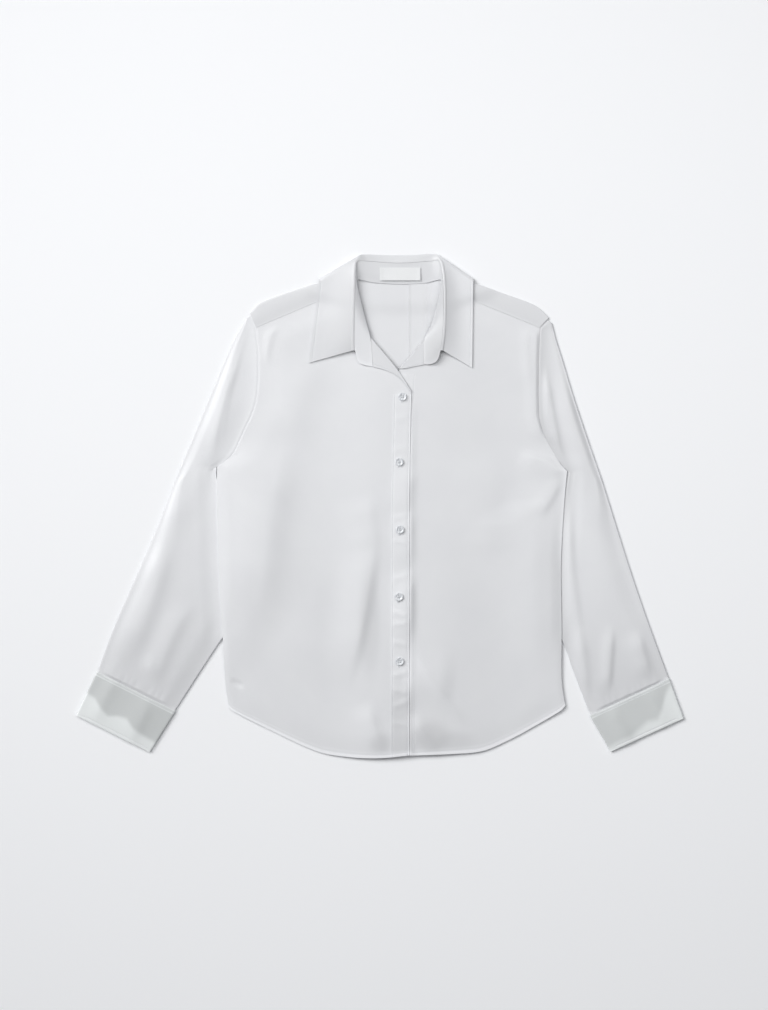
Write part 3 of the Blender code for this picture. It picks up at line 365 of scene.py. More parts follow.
def wovenSatin(name, colour, shade, finish):
    # Polyester satin: long smooth warp floats give a soft pearly gloss that is longer across the threads.
    # Real floats are 0.1 mm wide and are drawn coarser, so that they show close up. A per-point attribute
    # makes it a little lighter where several layers lie together, and paints light and shade into the
    # colour:
    # painted highlights and painted shade where folds, rims and edges catch or miss the light.
    made, tree, shader = newMaterial(name, finish)
    flat = {"Vector": addNode(tree, "ShaderNodeTexCoord", {}, {}).outputs["UV"]}
    size = (1 / (satinWeave["floatWidth"] * mm), 1 / (satinWeave["floatLength"] * mm), 1)
    floats = {"Vector": addNode(tree, "ShaderNodeMapping", {"Scale": size}, flat).outputs["Vector"]}
    threads = addNode(tree, "ShaderNodeTexNoise", {"Scale": 1.0, "Detail": 2.0, "Roughness": 0.55}, floats)
    clouds = addNode(tree, "ShaderNodeTexNoise",
                     {"Scale": 1 / (satinWeave["cloud"] * mm), "Detail": 3.0, "Roughness": 0.5}, flat)
    tone = twoTones(tree, clouds.outputs["Fac"], shade, colour)
    # painted light and shade: the attribute scales the colour's value by a tenth per unit, lighter or darker
    plyToneAndPaintedLight = addNode(tree, "ShaderNodeAttribute", {"attribute_name": "plyToneAndPaintedLight"}, {})
    value = addNode(tree, "ShaderNodeMath", {"operation": "MULTIPLY_ADD"}, {})
    tree.links.new(plyToneAndPaintedLight.outputs["Fac"], value.inputs[0])
    value.inputs[1].default_value = 0.1
    value.inputs[2].default_value = 1.0
    lit = addNode(tree, "ShaderNodeHueSaturation", {}, {"Color": tone, "Value": value.outputs[0]})
    slow = reliefOf(tree, 0.12, satinWeave["cloudDepth"], {"Height": clouds.outputs["Fac"]})
    weave = reliefOf(tree, 0.12, satinWeave["floatDepth"],
                     {"Height": threads.outputs["Fac"], "Normal": slow})
    alongThreads = addNode(tree, "ShaderNodeTangent", {"direction_type": "UV_MAP", "uv_map": "pattern"}, {})
    tree.links.new(lit.outputs["Color"], shader.inputs["Base Color"])
    tree.links.new(weave, shader.inputs["Normal"])
    tree.links.new(alongThreads.outputs["Tangent"], shader.inputs["Tangent"])
    return made


def bandedMaterial(name, finish, bands, shown, colours, depth=None):
    # two tones in soft bands, raised where a depth in millimetres is given
    made, tree, shader = newMaterial(name, finish)
    where = addNode(tree, "ShaderNodeTexCoord", {}, {})
    pattern = addNode(tree, "ShaderNodeTexWave", bands, {"Vector": where.outputs[shown]}).outputs["Fac"]
    tree.links.new(twoTones(tree, pattern, *colours), shader.inputs["Base Color"])
    if depth:
        tree.links.new(reliefOf(tree, 0.3, depth, {"Height": pattern}), shader.inputs["Normal"])
    return made


satinFinish = {"Roughness": 0.38, "Specular IOR Level": 0.6, "Sheen Weight": 0.2, "Sheen Roughness": 0.35,
               "Anisotropic": 0.3, "IOR": 1.5}
satin = wovenSatin("polyesterSatin", "e4e5e7", "dedfe2", satinFinish)
# a darker copy of the satin for the cuffs: painted shade standing in for the light their satin turns away
shadedCuffSatin = wovenSatin("cuffSatinPaintedShade", "cdd0d0", "c5c8c8", {**satinFinish, "Roughness": 0.32})
# Spun polyester sewing thread: a matt twisted yarn, a shade darker than the cloth in its own shadow.
thread = bandedMaterial("spunThread", {"Roughness": 0.65, "Sheen Weight": 0.3},
                        {"Scale": 1 / (0.9 * mm), "Distortion": 1.0, "Detail": 1.0}, "Object",
                        ("d2d5d9", "e6e8eb"), 0.05)
# Cast polyester button: cloudy mother-of-pearl swirls under a clear polished skin.
pearl = bandedMaterial("pearlyPolyester", {"Roughness": 0.22, "Coat Weight": 0.5, "Coat Roughness": 0.08},
                       {"Scale": 1 / (14 * mm), "Distortion": 9.0, "Detail": 2.0}, "Object",
                       ("cdd1d6", "eceef1"))
# Woven polyester label ribbon: fine cross ribs, matt white.
ribbon = bandedMaterial("wovenRibbon", {"Roughness": 0.55, "Sheen Weight": 0.2},
                        {"Scale": 1 / (5 * mm), "bands_direction": "Y", "Distortion": 0.4}, "UV",
                        ("e2e4e5", "ecedee"), 0.08)
print("materials are made")


def newObject(name, data):
    made = bpy.data.objects.new(name, data)
    bpy.context.scene.collection.objects.link(made)
    return made


def selectOnly(piece=None):
    bpy.ops.object.select_all(action="DESELECT")
    if piece:
        piece.select_set(True)
        bpy.context.view_layer.objects.active = piece


def gridMesh(name, grids, plyToneAndPaintedLight):
    # one mesh of several grids, with a flat pattern in metres as its UV map and, for each point, a value of
    # painted light and shade that also makes paler plies lighter
    points, patterns, faces, paintedLightAndPlies = [], [], [], []
    for grid, bright in zip(grids, plyToneAndPaintedLight or [0.0] * len(grids)):
        paintedLightAndPlies.extend(np.broadcast_to(bright, grid.shape[:2]).ravel().tolist())
        rows, columns = grid.shape[:2]
        across = norm(np.diff(grid, axis=1), axis=2)
        along = norm(np.diff(grid, axis=0), axis=2)
        u = np.concatenate([np.zeros((rows, 1)), np.cumsum(across, axis=1)], axis=1)
        v = np.concatenate([np.zeros((1, columns)), np.cumsum(along, axis=0)], axis=0)
        base = len(points)
        points.extend((grid.reshape(-1, 3) * mm).tolist())
        patterns.extend((np.stack([u, v], axis=2).reshape(-1, 2) * mm).tolist())
        first = base + (np.arange(rows - 1)[:, None] * columns + np.arange(columns - 1)[None]).ravel()
        faces.extend(np.stack([first, first + 1, first + columns + 1, first + columns], axis=1).tolist())
    mesh = bpy.data.meshes.new(name)
    mesh.from_pydata(points, [], faces)
    mesh.attributes.new("plyToneAndPaintedLight", "FLOAT", "POINT").data.foreach_set("value", paintedLightAndPlies)
    pattern = mesh.uv_layers.new(name="pattern")
    corners = np.empty(len(mesh.loops), dtype=np.int32)
    mesh.loops.foreach_get("vertex_index", corners)
    pattern.data.foreach_set("uv", np.array(patterns)[corners].ravel())
    welded = bmesh.new()
    welded.from_mesh(mesh)
    bmesh.ops.remove_doubles(welded, verts=welded.verts, dist=0.02 * mm)
    bmesh.ops.recalc_face_normals(welded, faces=welded.faces)
    welded.to_mesh(mesh)
    welded.free()
    return mesh


def applyAll(piece):
    selectOnly(piece)
    for modifier in list(piece.modifiers):
        bpy.ops.object.modifier_apply(modifier=modifier.name)
    piece.select_set(False)


def clothPiece(name, grids, node, cut, plyToneAndPaintedLight=None, wall=layers["wall"], material=satin):
    mesh = gridMesh(name, grids, plyToneAndPaintedLight)
    piece = newObject(name, mesh)
    mesh.materials.append(material)
    shell = piece.modifiers.new("wall", "SOLIDIFY")
    shell.thickness = wall * mm
    shell.offset = 0.0
    applyAll(piece)
    piece.data.shade_smooth()
    piece.data.set_sharp_from_angle(angle=math.radians(55))
    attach(piece, "root")
    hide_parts(node)
    print(name, "has", len(piece.data.polygons), "faces")


def sideRows(side, count):
    lower = lineAt(body["side" + side], spread(curveLength(body["side" + side]), hemZone, count[0]))
    upper = lineAt(body["armhole" + side], evenly(count[1]))
    return np.vstack([lower, upper[1:]])


# The hem: turned twice, so its last five millimetres are thicker and a row of stitches dents them.
hemZone = (0, 0.8, 1.8, 2.8, 3.6, 4.4, 5.2, 6.2, 8.5)
hemTurn = {"width": 5.0, "rise": 0.35, "stitchDent": 0.3, "plyToneAndPaintedLight": 1.6, "shows": 4.0}


def hemRelief(fromHem):
    turned = hemTurn["rise"] * ramp(hemTurn["width"] + 1.2 - fromHem, 1.4)
    dent = hemTurn["stitchDent"] * hump(fromHem - hemTurn["width"] + 0.8, 0.7)
    return turned - dent


def hemShine(fromHem):
    return ramp(hemTurn["shows"] - fromHem, 1.2)


def withHeight(grid, height):
    return np.dstack([grid, height(grid[..., 0], grid[..., 1])])


def backHem(x):
    return hemY(x) + body["backHemRise"]


backCut = {"size": (545, 720), "area": 0.365, "rows": (62, 44), "columns": 44}
# The shoulder extensions, folded over to the front and sewn down: swell, ridge at the seam, painted shade on
# the fold and on the extension, and a painted highlight at the seam.
extension = {"swell": 0.5, "ridge": 0.15, "ridgeWidth": 0.12, "foldPaintedShade": -0.5, "plyToneAndPaintedLight": -0.7,
             "seamPaintedHighlight": 1.2}


def makeBack():
    columns = evenly(backCut["columns"])
    start, end = pleat["start"], pleat["end"]
    bottom = float(backHem(start))
    lower = bottom * (1 - spread(-bottom, hemZone, backCut["rows"][0]))
    upper = np.linspace(0, body["neckRight"][-1][1], backCut["rows"][1] + 2)
    middle = np.concatenate([lower, upper[1:]])
    neckStep = body["neckLeft"][0][1] - body["neckRight"][-1][1]
    leftMiddle = middle + neckStep * ramp(middle - 150, 109)
    tops = (body["shoulderRight"] + body["neckRight"][1:], body["neckLeft"] + body["shoulderLeft"][1:])
    halves, flaps, paintedShades = [], [], []
    for side, top, x, y in (("Right", tops[0], start, middle), ("Left", tops[1], end, leftMiddle)):
        edge = np.vstack([sideRows(side, backCut["rows"]), [body["tip" + side]]])
        edge[0, 1] += body["backHemRise"]
        spine = np.stack([np.full(len(edge), x), y], axis=1)
        near, far = (edge, spine) if side == "Right" else (spine, edge)
        hemX = near[0, 0] + (far[0, 0] - near[0, 0]) * columns
        hemRow = np.stack([hemX, backHem(hemX)], axis=1)
        halves.append(between(near, far, columns, hemRow, lineAt(top, columns), 0.1))
        count = int(round(curveLength(body["shoulder" + side]) / curveLength(top) * backCut["columns"]))
        line = halves[-1][-1, :count + 1] if side == "Right" else halves[-1][-1, -count - 1:]
        seam = body["seam" + side][::1 if side == "Right" else -1]
        low = heightBack(line[:, 0], line[:, 1])
        outward = normalsOf(line, (-0.3 if side == "Right" else 0.3, 1))
        seamLine = lineAt(seam, np.linspace(0, 1, len(line)), rounded=False) + np.array([0, 0.35])
        steps = evenly(12)
        flap = np.stack([line + (seamLine - line) * t for t in steps])
        puff = extension["swell"] * np.sin(math.pi * steps)
        puff = puff + extension["ridge"] * hump(1 - steps, extension["ridgeWidth"])
        flapZ = heightBack(flap[..., 0], flap[..., 1]) + layers["layer"] + puff[:, None]
        flaps += [halfBend(line, outward, low, low + layers["layer"], 6), np.dstack([flap, flapZ])]
        # painted shade on the fold and the extension, with a painted highlight at the seam
        atSeam = extension["seamPaintedHighlight"] * ramp(steps - 0.9, 0.08)
        paintedShades += [extension["foldPaintedShade"], (extension["plyToneAndPaintedLight"] + atSeam)[:, None]]
    gridRight, gridLeft = halves

    inner, outer, bend = pleat["x"], pleat["x"] + pleat["depth"], layers["layer"] / 2
    turn = np.linspace(-math.pi / 2, math.pi / 2, 7)
    pleatX = np.concatenate([np.linspace(start, outer, 8), outer + bend * np.cos(turn[1:-1]),
                             np.linspace(outer, inner, 7), inner - bend * np.cos(turn[1:-1]),
                             np.linspace(inner, outer + pleat["lap"], 8),
                             np.linspace(outer + pleat["lap"], end, 6)[1:]])
    pleatZ = np.concatenate([np.zeros(8), 0.5 + 0.5 * np.sin(turn[1:-1]), np.ones(7),
                             1.5 + 0.5 * np.sin(turn[1:-1]), np.full(8, 2.0),
                             2 * (1 - smooth(evenly(5)[1:]))]) * layers["layer"]
    # painted shade along the pleat's upper fold and a painted highlight on the cloth beside it
    atFold, beside = pleat["plyToneAndPaintedLight"]
    pleatPaintedShading = atFold * hump(pleatX - inner + bend, 1.5) * (pleatZ > layers["layer"])
    pastFold = ramp(pleatX - outer - pleat["lap"], end - outer - pleat["lap"])
    pleatPaintedShading = pleatPaintedShading + beside * np.sin(math.pi * pastFold)
    share = (pleatX - start) / (end - start)
    pleatY = gridRight[:, -1:, 1] + (gridLeft[:, :1, 1] - gridRight[:, -1:, 1]) * share[None, :]
    fromRight = heightBack(gridRight[:, -1:, 0], gridRight[:, -1:, 1])
    fromLeft = heightBack(gridLeft[:, :1, 0], gridLeft[:, :1, 1])
    folded = np.dstack([np.broadcast_to(pleatX, pleatY.shape), pleatY,
                        fromRight + (fromLeft - fromRight) * share[None, :] + pleatZ])

    grids = [withHeight(gridRight, heightBack), folded, withHeight(gridLeft, heightBack)]
    clothPiece("backPanel", grids + flaps, "back", backCut["size"],
               [0.0, pleatPaintedShading, 0.0] + paintedShades)


# each front carries painted shade on its lapel and roll, and painted light beside the left front's side edge
frontRight = {
    "side": "Right", "over": True, "sign": 1, "node": "front_right", "cut": (282, 690), "area": 0.156,
    "edge": ((12.6, -399), (12.6, -60), (15.4, 109.2)),
    "roll": ((15.4, 109.2), (-2.8, 137.6), (-40.6, 183.4)),
    "neck": ((-40.6, 183.4), (-48, 210), (-55, 238), (-60.5, 257.5)),
    "lapel": ((13.6, 110.2), (5.5, 121.5), (-4, 131), (-18.2, 138.6), (-37.8, 144.2)), "lapelPaintedShade": -0.7,
    "rollPaintedShading": 0.1, "sideEdgePaintedLight": 0.0,
}
frontLeft = {
    "side": "Left", "over": False, "sign": -1, "node": "front_left", "cut": (250, 690), "area": 0.142,
    "edge": ((-4.5, -398.5), (-4.5, -60), (-4.2, 122), (-0.5, 141.5)),
    "roll": ((-0.5, 141.5), (14, 158), (33.6, 182)),
    "neck": ((33.6, 182), (45, 206), (52.5, 232), (58.5, 257.5)),
    "lapel": ((1.6, 141.6), (8, 142), (18, 144.2), (32.2, 147)), "lapelPaintedShade": -0.4,
    "rollPaintedShading": -2.6, "sideEdgePaintedLight": 2.2,
}
frontRows = {"side": 118, "band": 38, "roll": 26, "neck": 26, "columns": 74, "bandWidth": 25.0,
             "lapelLift": 1.65, "rim": {"sink": 0.2, "width": 1.2, "plyToneAndPaintedLight": 0.1, "highlightWidth": 1.6}}
# painted shade pools beside the bands, where folds turn from the light: centre, half sizes and strength of
# the painted shade
paintedShadePools = (
    (44, -374, 26, 22, -1.3),
    (78, -380, 26, 14, -0.7),
    (-42, -215, 14, 70, -1.0),
    (-26, -382, 16, 14, -0.9),
)
bandStitch = {"inset": 2.2, "dent": 0.35, "width": 0.8}
# the band's colour: a paler ground for its plies, painted highlight along the rims, paler plies at the hem,
# painted shade on its lower part
bandShape = {"rounding": 0.2, "roundWidth": 0.8, "hiddenSink": (0.12, 0.43), "ground": 0.35, "rimWidth": 1.6,
             "rim": (0.1, 2.2), "hem": 0.8, "low": -1.3, "lowFrom": -285, "lowOver": 40}


def makeFront(front):
    rows = frontRows
    armRows = rows["band"] + rows["roll"] + rows["neck"]
    side = sideRows(front["side"], (rows["side"], armRows))
    edgeLength = curveLength(front["edge"])
    belowArm = edgeLength * rows["side"] / (rows["side"] + rows["band"]) * 0.985
    places = np.concatenate([spread(belowArm, hemZone, rows["side"]) * belowArm,
                             np.linspace(belowArm, edgeLength, rows["band"] + 1)[1:]]) / edgeLength
    edge = np.vstack([lineAt(front["edge"], places),
                      lineAt(front["roll"], evenly(rows["roll"]))[1:],
                      lineAt(front["neck"], evenly(rows["neck"]))[1:]])
    strip = edge + np.array([-front["sign"] * rows["bandWidth"], 0.0])
    seam = body["seam" + front["side"]]
    neckEnd, seamNext = np.array(front["neck"][-1]), np.array(seam[1])
    seamEnd = neckEnd + (seamNext - neckEnd) * rows["bandWidth"] / norm(seamNext - neckEnd)
    blend = smooth(np.linspace(-1, 1, rows["neck"] + 1))[1:, None]
    strip[-rows["neck"]:] += (seamEnd - strip[-1]) * blend
    columns = spread(1.0, (0, 0.004, 0.009, 0.016, 0.025), rows["columns"])
    hemX = side[0, 0] + (strip[0, 0] - side[0, 0]) * columns
    hemRow = np.stack([hemX, hemY(hemX)], axis=1)
    hemRow[0] = side[0]
    stripHem = hemRow[-1, 1] - strip[0, 1]
    strip[:, 1] += stripHem * np.clip(1 - np.arange(len(strip)) / rows["side"], 0, 1) ** 2
    topRow = lineAt((seam[0], seam[1], tuple(seamEnd)), columns, rounded=False)
    panel = between(side, strip, columns, hemRow, topRow, 0.3)
    fromHem = np.concatenate([hemZone, np.full(len(side) - len(hemZone), 50.0)])

    def height(x, y):
        return heightFront(x, y, front["over"])

    panelZ, bandZ = [withHeight(grid, height) for grid in (panel, between(strip, edge, evenly(14)))]
    for grid in (panelZ, bandZ):
        grid[..., 2] += hemRelief(fromHem)[:, None]
    fromEdge = norm(panel - panel[:, :1], axis=2)
    rim = rows["rim"]
    panelZ[..., 2] -= rim["sink"] * hump(fromEdge, rim["width"])
    turnedUp = (hemTurn["plyToneAndPaintedLight"] * hemShine(fromHem))[:, None]
    # paler plies at the hem, a painted highlight along the panel's side edge, and the painted shade pools
    panelPaintedLightAndPlies = turnedUp + rim["plyToneAndPaintedLight"] * hump(fromEdge, rim["highlightWidth"])
    x, y = panel[..., 0], panel[..., 1]
    for centreX, centreY, halfX, halfY, strength in paintedShadePools:
        apart = ((x - centreX) / halfX) ** 2 + ((y - centreY) / halfY) ** 2
        panelPaintedLightAndPlies = panelPaintedLightAndPlies + strength * np.exp(-apart * apart) * (fromHem > 5)[:, None]
    # painted light along the left front's side edge below the arm, where its shadow falls
    fromSide = np.abs(np.abs(sideLimit(front["side"], y)) - np.abs(x))
    nearArm = ramp(y + 150, 60) * ramp(6 - y, 12)
    panelPaintedLightAndPlies = panelPaintedLightAndPlies + front["sideEdgePaintedLight"] * hump(fromSide, 5) * nearArm

    first = rows["side"] + len(hemZone) - 1 + rows["band"]
    rollLine = edge[first:first + rows["roll"] + 1]
    low = height(rollLine[:, 0], rollLine[:, 1])
    lift = rows["lapelLift"]
    fold = halfBend(rollLine, normalsOf(rollLine, (front["sign"], 1)), low, low + lift, 6)
    tips = lineAt(front["lapel"], evenly(rows["roll"]))
    steps = spread(1.0, (0,), 16)
    lapel = np.stack([rollLine + (tips - rollLine) * t for t in steps])
    lapelZ = height(lapel[..., 0], lapel[..., 1]) + lift
    lapelZ[0] = low + lift
    lapel = np.dstack([lapel, lapelZ])
    clothPiece(front["node"] + "Panel", [panelZ, bandZ, fold, lapel], front["node"], front["cut"],
               [panelPaintedLightAndPlies, turnedUp, front["rollPaintedShading"], front["lapelPaintedShade"]])
    return edge[:first + 1], strip[:first + 1], fromHem[:first + 1], lapel


def makeBand(name, node, front, edge, strip, fromHem, lapelRows):
    # a button band: a folded strip along the front's edge, dented by a row of stitches at each side
    across = evenly(28)
    plan = between(strip, edge, across)[:-lapelRows]
    plan[-1, :, 1] -= 0.4
    width = frontRows["bandWidth"]
    fromEdge = np.minimum(across, 1 - across) * width
    rounded = -bandShape["rounding"] * hump(fromEdge, bandShape["roundWidth"])
    dents = -bandStitch["dent"] * hump(fromEdge - bandStitch["inset"], bandStitch["width"])
    # the hidden band's far edge is pressed flat, so it doesn't show beside the upper one
    whole, farEdge = bandShape["hiddenSink"]
    lift = layers["bandLift"] - (0 if front["over"] else whole + farEdge * smooth(1.5 - across * 2.5))
    x, y, fromHem = plan[..., 0], plan[..., 1], fromHem[:len(plan), None]
    z = heightFront(x, y, front["over"]) + (lift + rounded + dents)[None, :] + hemRelief(fromHem)
    if front["over"]:
        z = z + creaseHeight(bandCreases, x, y)
    grid = np.dstack([plan, z])
    # painted highlight along the over band's rims, paler plies at hem and ground, and painted shade on the
    # lower part of the band
    first, more = bandShape["rim"]
    rims = hump(fromEdge, bandShape["rimWidth"]) * (first + more * across if front["over"] else 0.0)
    rims = bandShape["ground"] + rims[None, :] + bandShape["hem"] * hemShine(fromHem)
    rims = rims + bandShape["low"] * (ramp(bandShape["lowFrom"] - y[:, :1], bandShape["lowOver"])
                                      * ramp(fromHem - 4, 3))
    clothPiece(name, [grid], node, (width, curveLength(front["edge"])), [rims])
    return grid


# short pulls across the band, between and beside the buttons
bandCreases = (
    (-12, -66, 12, -62, 1, 3.0, 0.49, 0.2),
    (-12, -98, 12, -104, -1, 3.0, 0.56, 0.2),
    (-12, -152, 12, -146, 1, 3.5, 0.56, 0.2),
    (-12, -196, 12, -204, 1, 3.5, 0.84, 0.2),
    (-12, -216, 12, -212, 1, 3.0, 0.7, 0.2),
    (-12, -240, 12, -246, -1, 3.5, 0.91, 0.2),
    (-12, -288, 12, -282, 1, 3.5, 0.84, -0.2),
    (-12, -306, 12, -312, 1, 3.5, 0.84, -0.2),
    (-12, -330, 12, -322, 1, 4.0, 0.84, 0.2),
    (-12, -352, 12, -356, 1, 3.5, 0.63, 0.2),
    (-11, 26, 11, 30, -1, 4.0, 0.35, 0),
    (-10, 70, 12, 76, 1, 4.0, 0.35, 0),
)

sleeveRight = {
    "side": "right", "sign": -1, "node": "sleeve_right", "cut": (370, 560), "area": 0.13, "ridge": 0.5,
    "plyToneAndPaintedLight": {"cap": 0.5, "wrist": -0.95, "wristLength": 190, "arm": 0, "tilt": 0.5, "upper": 0.2,
               "beside": 1.3, "seam": 0.25},
    "top": ((-214.5, 212), (-220, 201), (-231, 182), (-243.5, 154), (-277.5, 72), (-315, -18)),
    "outer": ((-315, -18), (-341, -85), (-367, -146), (-396, -212), (-422.3, -281.6)),
}
sleeveLeft = {
    "side": "left", "sign": 1, "node": "sleeve_left", "cut": (330, 560), "area": 0.12, "ridge": 0.55,
    "plyToneAndPaintedLight": {"cap": -1.3, "wrist": -0.8, "wristLength": 130, "arm": 0.2, "tilt": -0.4, "upper": -0.5,
               "beside": -1.5, "seam": -0.3},
    "top": ((211.5, 205.5), (217.5, 182), (226.3, 154), (243.3, 98), (262, 42), (282.8, -18)),
    "outer": ((282.8, -18), (304, -86), (322.5, -144), (345.8, -212), (375, -291.4)),
}
sleeveRows = {"cap": 66, "tip": 5, "below": 100, "columns": 52, "layers": 1.55, "loft": 2.4,
              "sewnIn": 1.4, "sunk": 0.6, "sinkWidth": 3.4, "inCuff": (1.2, 2.6, 4.0), "rounded": 0.22,
              "uneven": (38, 0.35), "besideWidths": (3.0, 18), "pucker": 0.25, "pressed": (32, 28),
              "freeWidth": 28, "freeAtArm": 22, "overCuff": 0.9, "upperInCuff": 1.95, "lowerInCuff": 0.95,
              "besideSeam": 16, "besideBody": 12, "underLayerPaintedShade": -0.8}
sleeveCreases = (
    (-216, 190, -250, 40, 4, 6, 0.4, 0.3),
    (-228, 150, -262, 20, 5, 8, 0.9, 0.3),
    (-238, 110, -292, -30, -8, 18, 0.9, 0),
    (-300, -30, -350, -160, 8, 26, 1.6, 0.2),
    (-330, -110, -382, -262, -6, 20, 1.8, 0.3),
    (-296, -190, -345, -300, 4, 15, 1.5, 0.3),
    (-352, -262, -330, -322, 3, 9, 0.9, 0.2),
    (203, 140, 226, 16, 2, 9, 1.9, 0.4),
    (222, 120, 262, -20, -5, 14, 1.2, 0.1),
    (235, -50, 250, -226, 3, 12, 1.7, 0.5),
    (250, -226, 262, -316, 0, 12, 1.5, 0.4),
    (262, -10, 312, -200, 8, 22, 1.4, 0.2),
    (296, -222, 290, -316, 0, 8, 1.5, 0.4),
    (330, -230, 352, -300, 0, 12, 1.7, 0.4),
)


def makeSleeve(sleeve):
    # a flattened tube, open along the armhole and closed by a fold from the underarm to the cuff
    key, sign, rows = sleeve["side"].capitalize(), sleeve["sign"], sleeveRows
    tip = np.array(body["tip" + key])
    armhole = lineAt(body["armhole" + key][::-1], evenly(rows["cap"]))
    out = normalsOf(armhole, (sign, -0.2))
    underarm = np.array([body["armhole" + key][0][0] + sign * 1.6, body["armhole" + key][0][1]])
    toUnderarm = ramp(np.arange(len(armhole)) - rows["cap"] + 5, 5)[:, None]
    edges = []
    for offset, tipShift in ((-rows["sewnIn"], (-sign * 0.9, -2.5)), (0.45, (0.0, -3.5))):
        line = armhole + out * offset
        line = line + (underarm - line) * toUnderarm ** 3
        head = np.linspace(tip + np.array(tipShift), line[0], rows["tip"] + 1)[:-1]
        edges.append(np.vstack([head, line]))
    capCount = len(edges[0])
    seamOuter, seamInner, openOuter, openInner = cuffCorners(sleeve["side"])
    share = np.array(rows["inCuff"])[:, None] / norm(openOuter - seamOuter)
    below = np.concatenate([np.linspace(0, 0.985, rows["below"] + 1)[1:], (0.9885, 0.992, 0.996, 1.0)])
    outer = np.vstack([lineAt(sleeve["top"], np.linspace(0, 1, capCount)), lineAt(sleeve["outer"], below),
                       seamOuter + (openOuter - seamOuter) * share])
    lowerInner = np.vstack([lineAt((tuple(underarm),) + tuck[sleeve["side"]], below),
                            seamInner + (openInner - seamInner) * share])
    columns = np.concatenate([np.linspace(0, 0.955, rows["columns"] - 4), (0.966, 0.976, 0.984, 0.992, 1.0)])
    upper, lower = [between(outer, np.vstack([edge, lowerInner]), columns) for edge in edges]

    x, y = upper[..., 0], upper[..., 1]
    clear = np.abs(x) - np.abs(sideLimit(key, y))
    atFold = ramp(1.0 - columns, 0.06)[None]
    sides = ramp(columns, rows["rounded"]) * ramp(1 - columns, rows["rounded"])
    free = ramp(clear - 0.5, rows["freeWidth"] + rows["freeAtArm"] * ramp(y + 4, 30)) * sides[None]
    near, far = rows["besideWidths"]
    beside = ramp(clear - 1.2, near) * (1 - ramp(clear - 4, far)) * ramp(4 - y, 16)
    creased = ramp(clear - 1, 12) * ramp(columns, 0.12)[None] * atFold
    ground = layers["floorLayer"]
    top = ground + rows["layers"] + free * (rows["loft"] + softUneven(x, y, *rows["uneven"]))
    top = top + sleeve["ridge"] * beside * atFold
    puckers = rows["pucker"] * np.sin(columns * 61 + 2 * np.sin(columns * 17))[None]
    top = top + creased * layers["foldDepth"] * creaseHeight(sleeveCreases, x, y)
    way = lengthsOf(outer)
    fromCuff = (way[-len(rows["inCuff"]) - 1] - way)[:, None]
    pressedFrom, pressedOver = rows["pressed"]
    atCuff = np.minimum(top, ground + cuffShape["layers"] + rows["overCuff"])
    top = top + (atCuff - top) * ramp(pressedFrom - fromCuff, pressedOver)
    fromSewn = norm(upper - upper[:, -1:], axis=2)
    inCap = ramp(capCount - np.arange(len(upper)), 4)[:, None]
    top = top - rows["sunk"] * inCap * (1 - ramp(fromSewn - rows["sewnIn"] - 0.2, rows["sinkWidth"]))
    top = top + puckers * sides[None] * ramp(fromCuff - 1, 3) * ramp(16 - fromCuff, 13)
    inside = ground + rows["upperInCuff"]
    top = top + (inside - top) * ramp(2.4 - fromCuff, 2.4)
    low = np.full(lower.shape[:2], ground) + rows["lowerInCuff"] * ramp(9 - fromCuff, 8)
    nearSeam = hump(fromSewn, rows["besideSeam"])
    lift = (heightBack(upper[:, -1:, 0], upper[:, -1:, 1]) - ground) * nearSeam
    lift = lift * ramp(capCount - 3 - np.arange(len(upper)), 8)[:, None]
    top, low = top + lift, low + lift

    outerFold = halfBend(upper[:, 0], awayFrom(upper[:, 0], upper[:, 1]), low[:, 0], top[:, 0], 5)
    closed = slice(capCount - 1, None)
    innerFold = halfBend(upper[closed, -1], awayFrom(upper[closed, -1], upper[closed, -2]),
                         low[closed, -1], top[closed, -1], 5)
    grids = [np.dstack([upper, top]), np.dstack([lower, low]), outerFold, innerFold]
    # painted shade and light on the sleeves: darker towards the wrist, tilted across, lighter or darker
    # beside the body and the seam, painted shade on the lower layer
    tone = sleeve["plyToneAndPaintedLight"]
    nearWrist = ramp(tone["wristLength"] - fromCuff, (tone["wristLength"] - 10))
    wristPaintedShade = tone["arm"] + (tone["wrist"] - tone["arm"]) * nearWrist
    upperPaintedShading = (tone["upper"] + tone["tilt"] * (2 * columns[None] - 1)) * ramp(y + 90, 110)
    besideBody = tone["beside"] * hump(clear, rows["besideBody"]) * ramp(14 - y, 24)
    besideSeam = tone["cap"] * ramp(y, 40) * nearSeam
    paintedLightAndPlies = wristPaintedShade + upperPaintedShading + besideBody + besideSeam
    paintedLightAndPlies = paintedLightAndPlies + tone["seam"] * inCap * hump(fromSewn - rows["sewnIn"] - 1.4, 1.1)
    clothPiece(sleeve["node"] + "Tube", grids, sleeve["node"], sleeve["cut"],
               [paintedLightAndPlies, 0.0, wristPaintedShade.T, rows["underLayerPaintedShade"]])


cuffShape = {"wall": 0.7 * layers["doubleWall"], "layers": 2.6, "crown": 1.2, "welt": 5.0, "weltRise": 0.45,
             "stitch": 4.0, "dent": 0.35, "weltStitch": 0.9, "rounded": 0.3, "columns": 48, "rows": 22,
             "seamRows": (0, 0.7, 1.4, 2.4, 3.4, 4.2, 4.8, 5.4, 6.2),
             "edgeRows": (0, 0.6, 1.6, 2.6, 3.4, 4.0, 4.6, 5.4, 6.6),
             "weltHighlightStrength": 1.1, "grooveHighlightStrength": 2.4, "rimHighlightStrength": 1.4}
cuffs = {
    "right": ((-422.6, -282.5), (-315.3, -336.6), (-451.5, -344.1), (-351.3, -394.2)),
    "left": ((375.3, -292.3), (266.9, -342.6), (395.5, -348.0), (296.2, -393.3)),
}


def cuffCorners(side):
    return [np.array(corner, dtype=float) for corner in cuffs[side]]


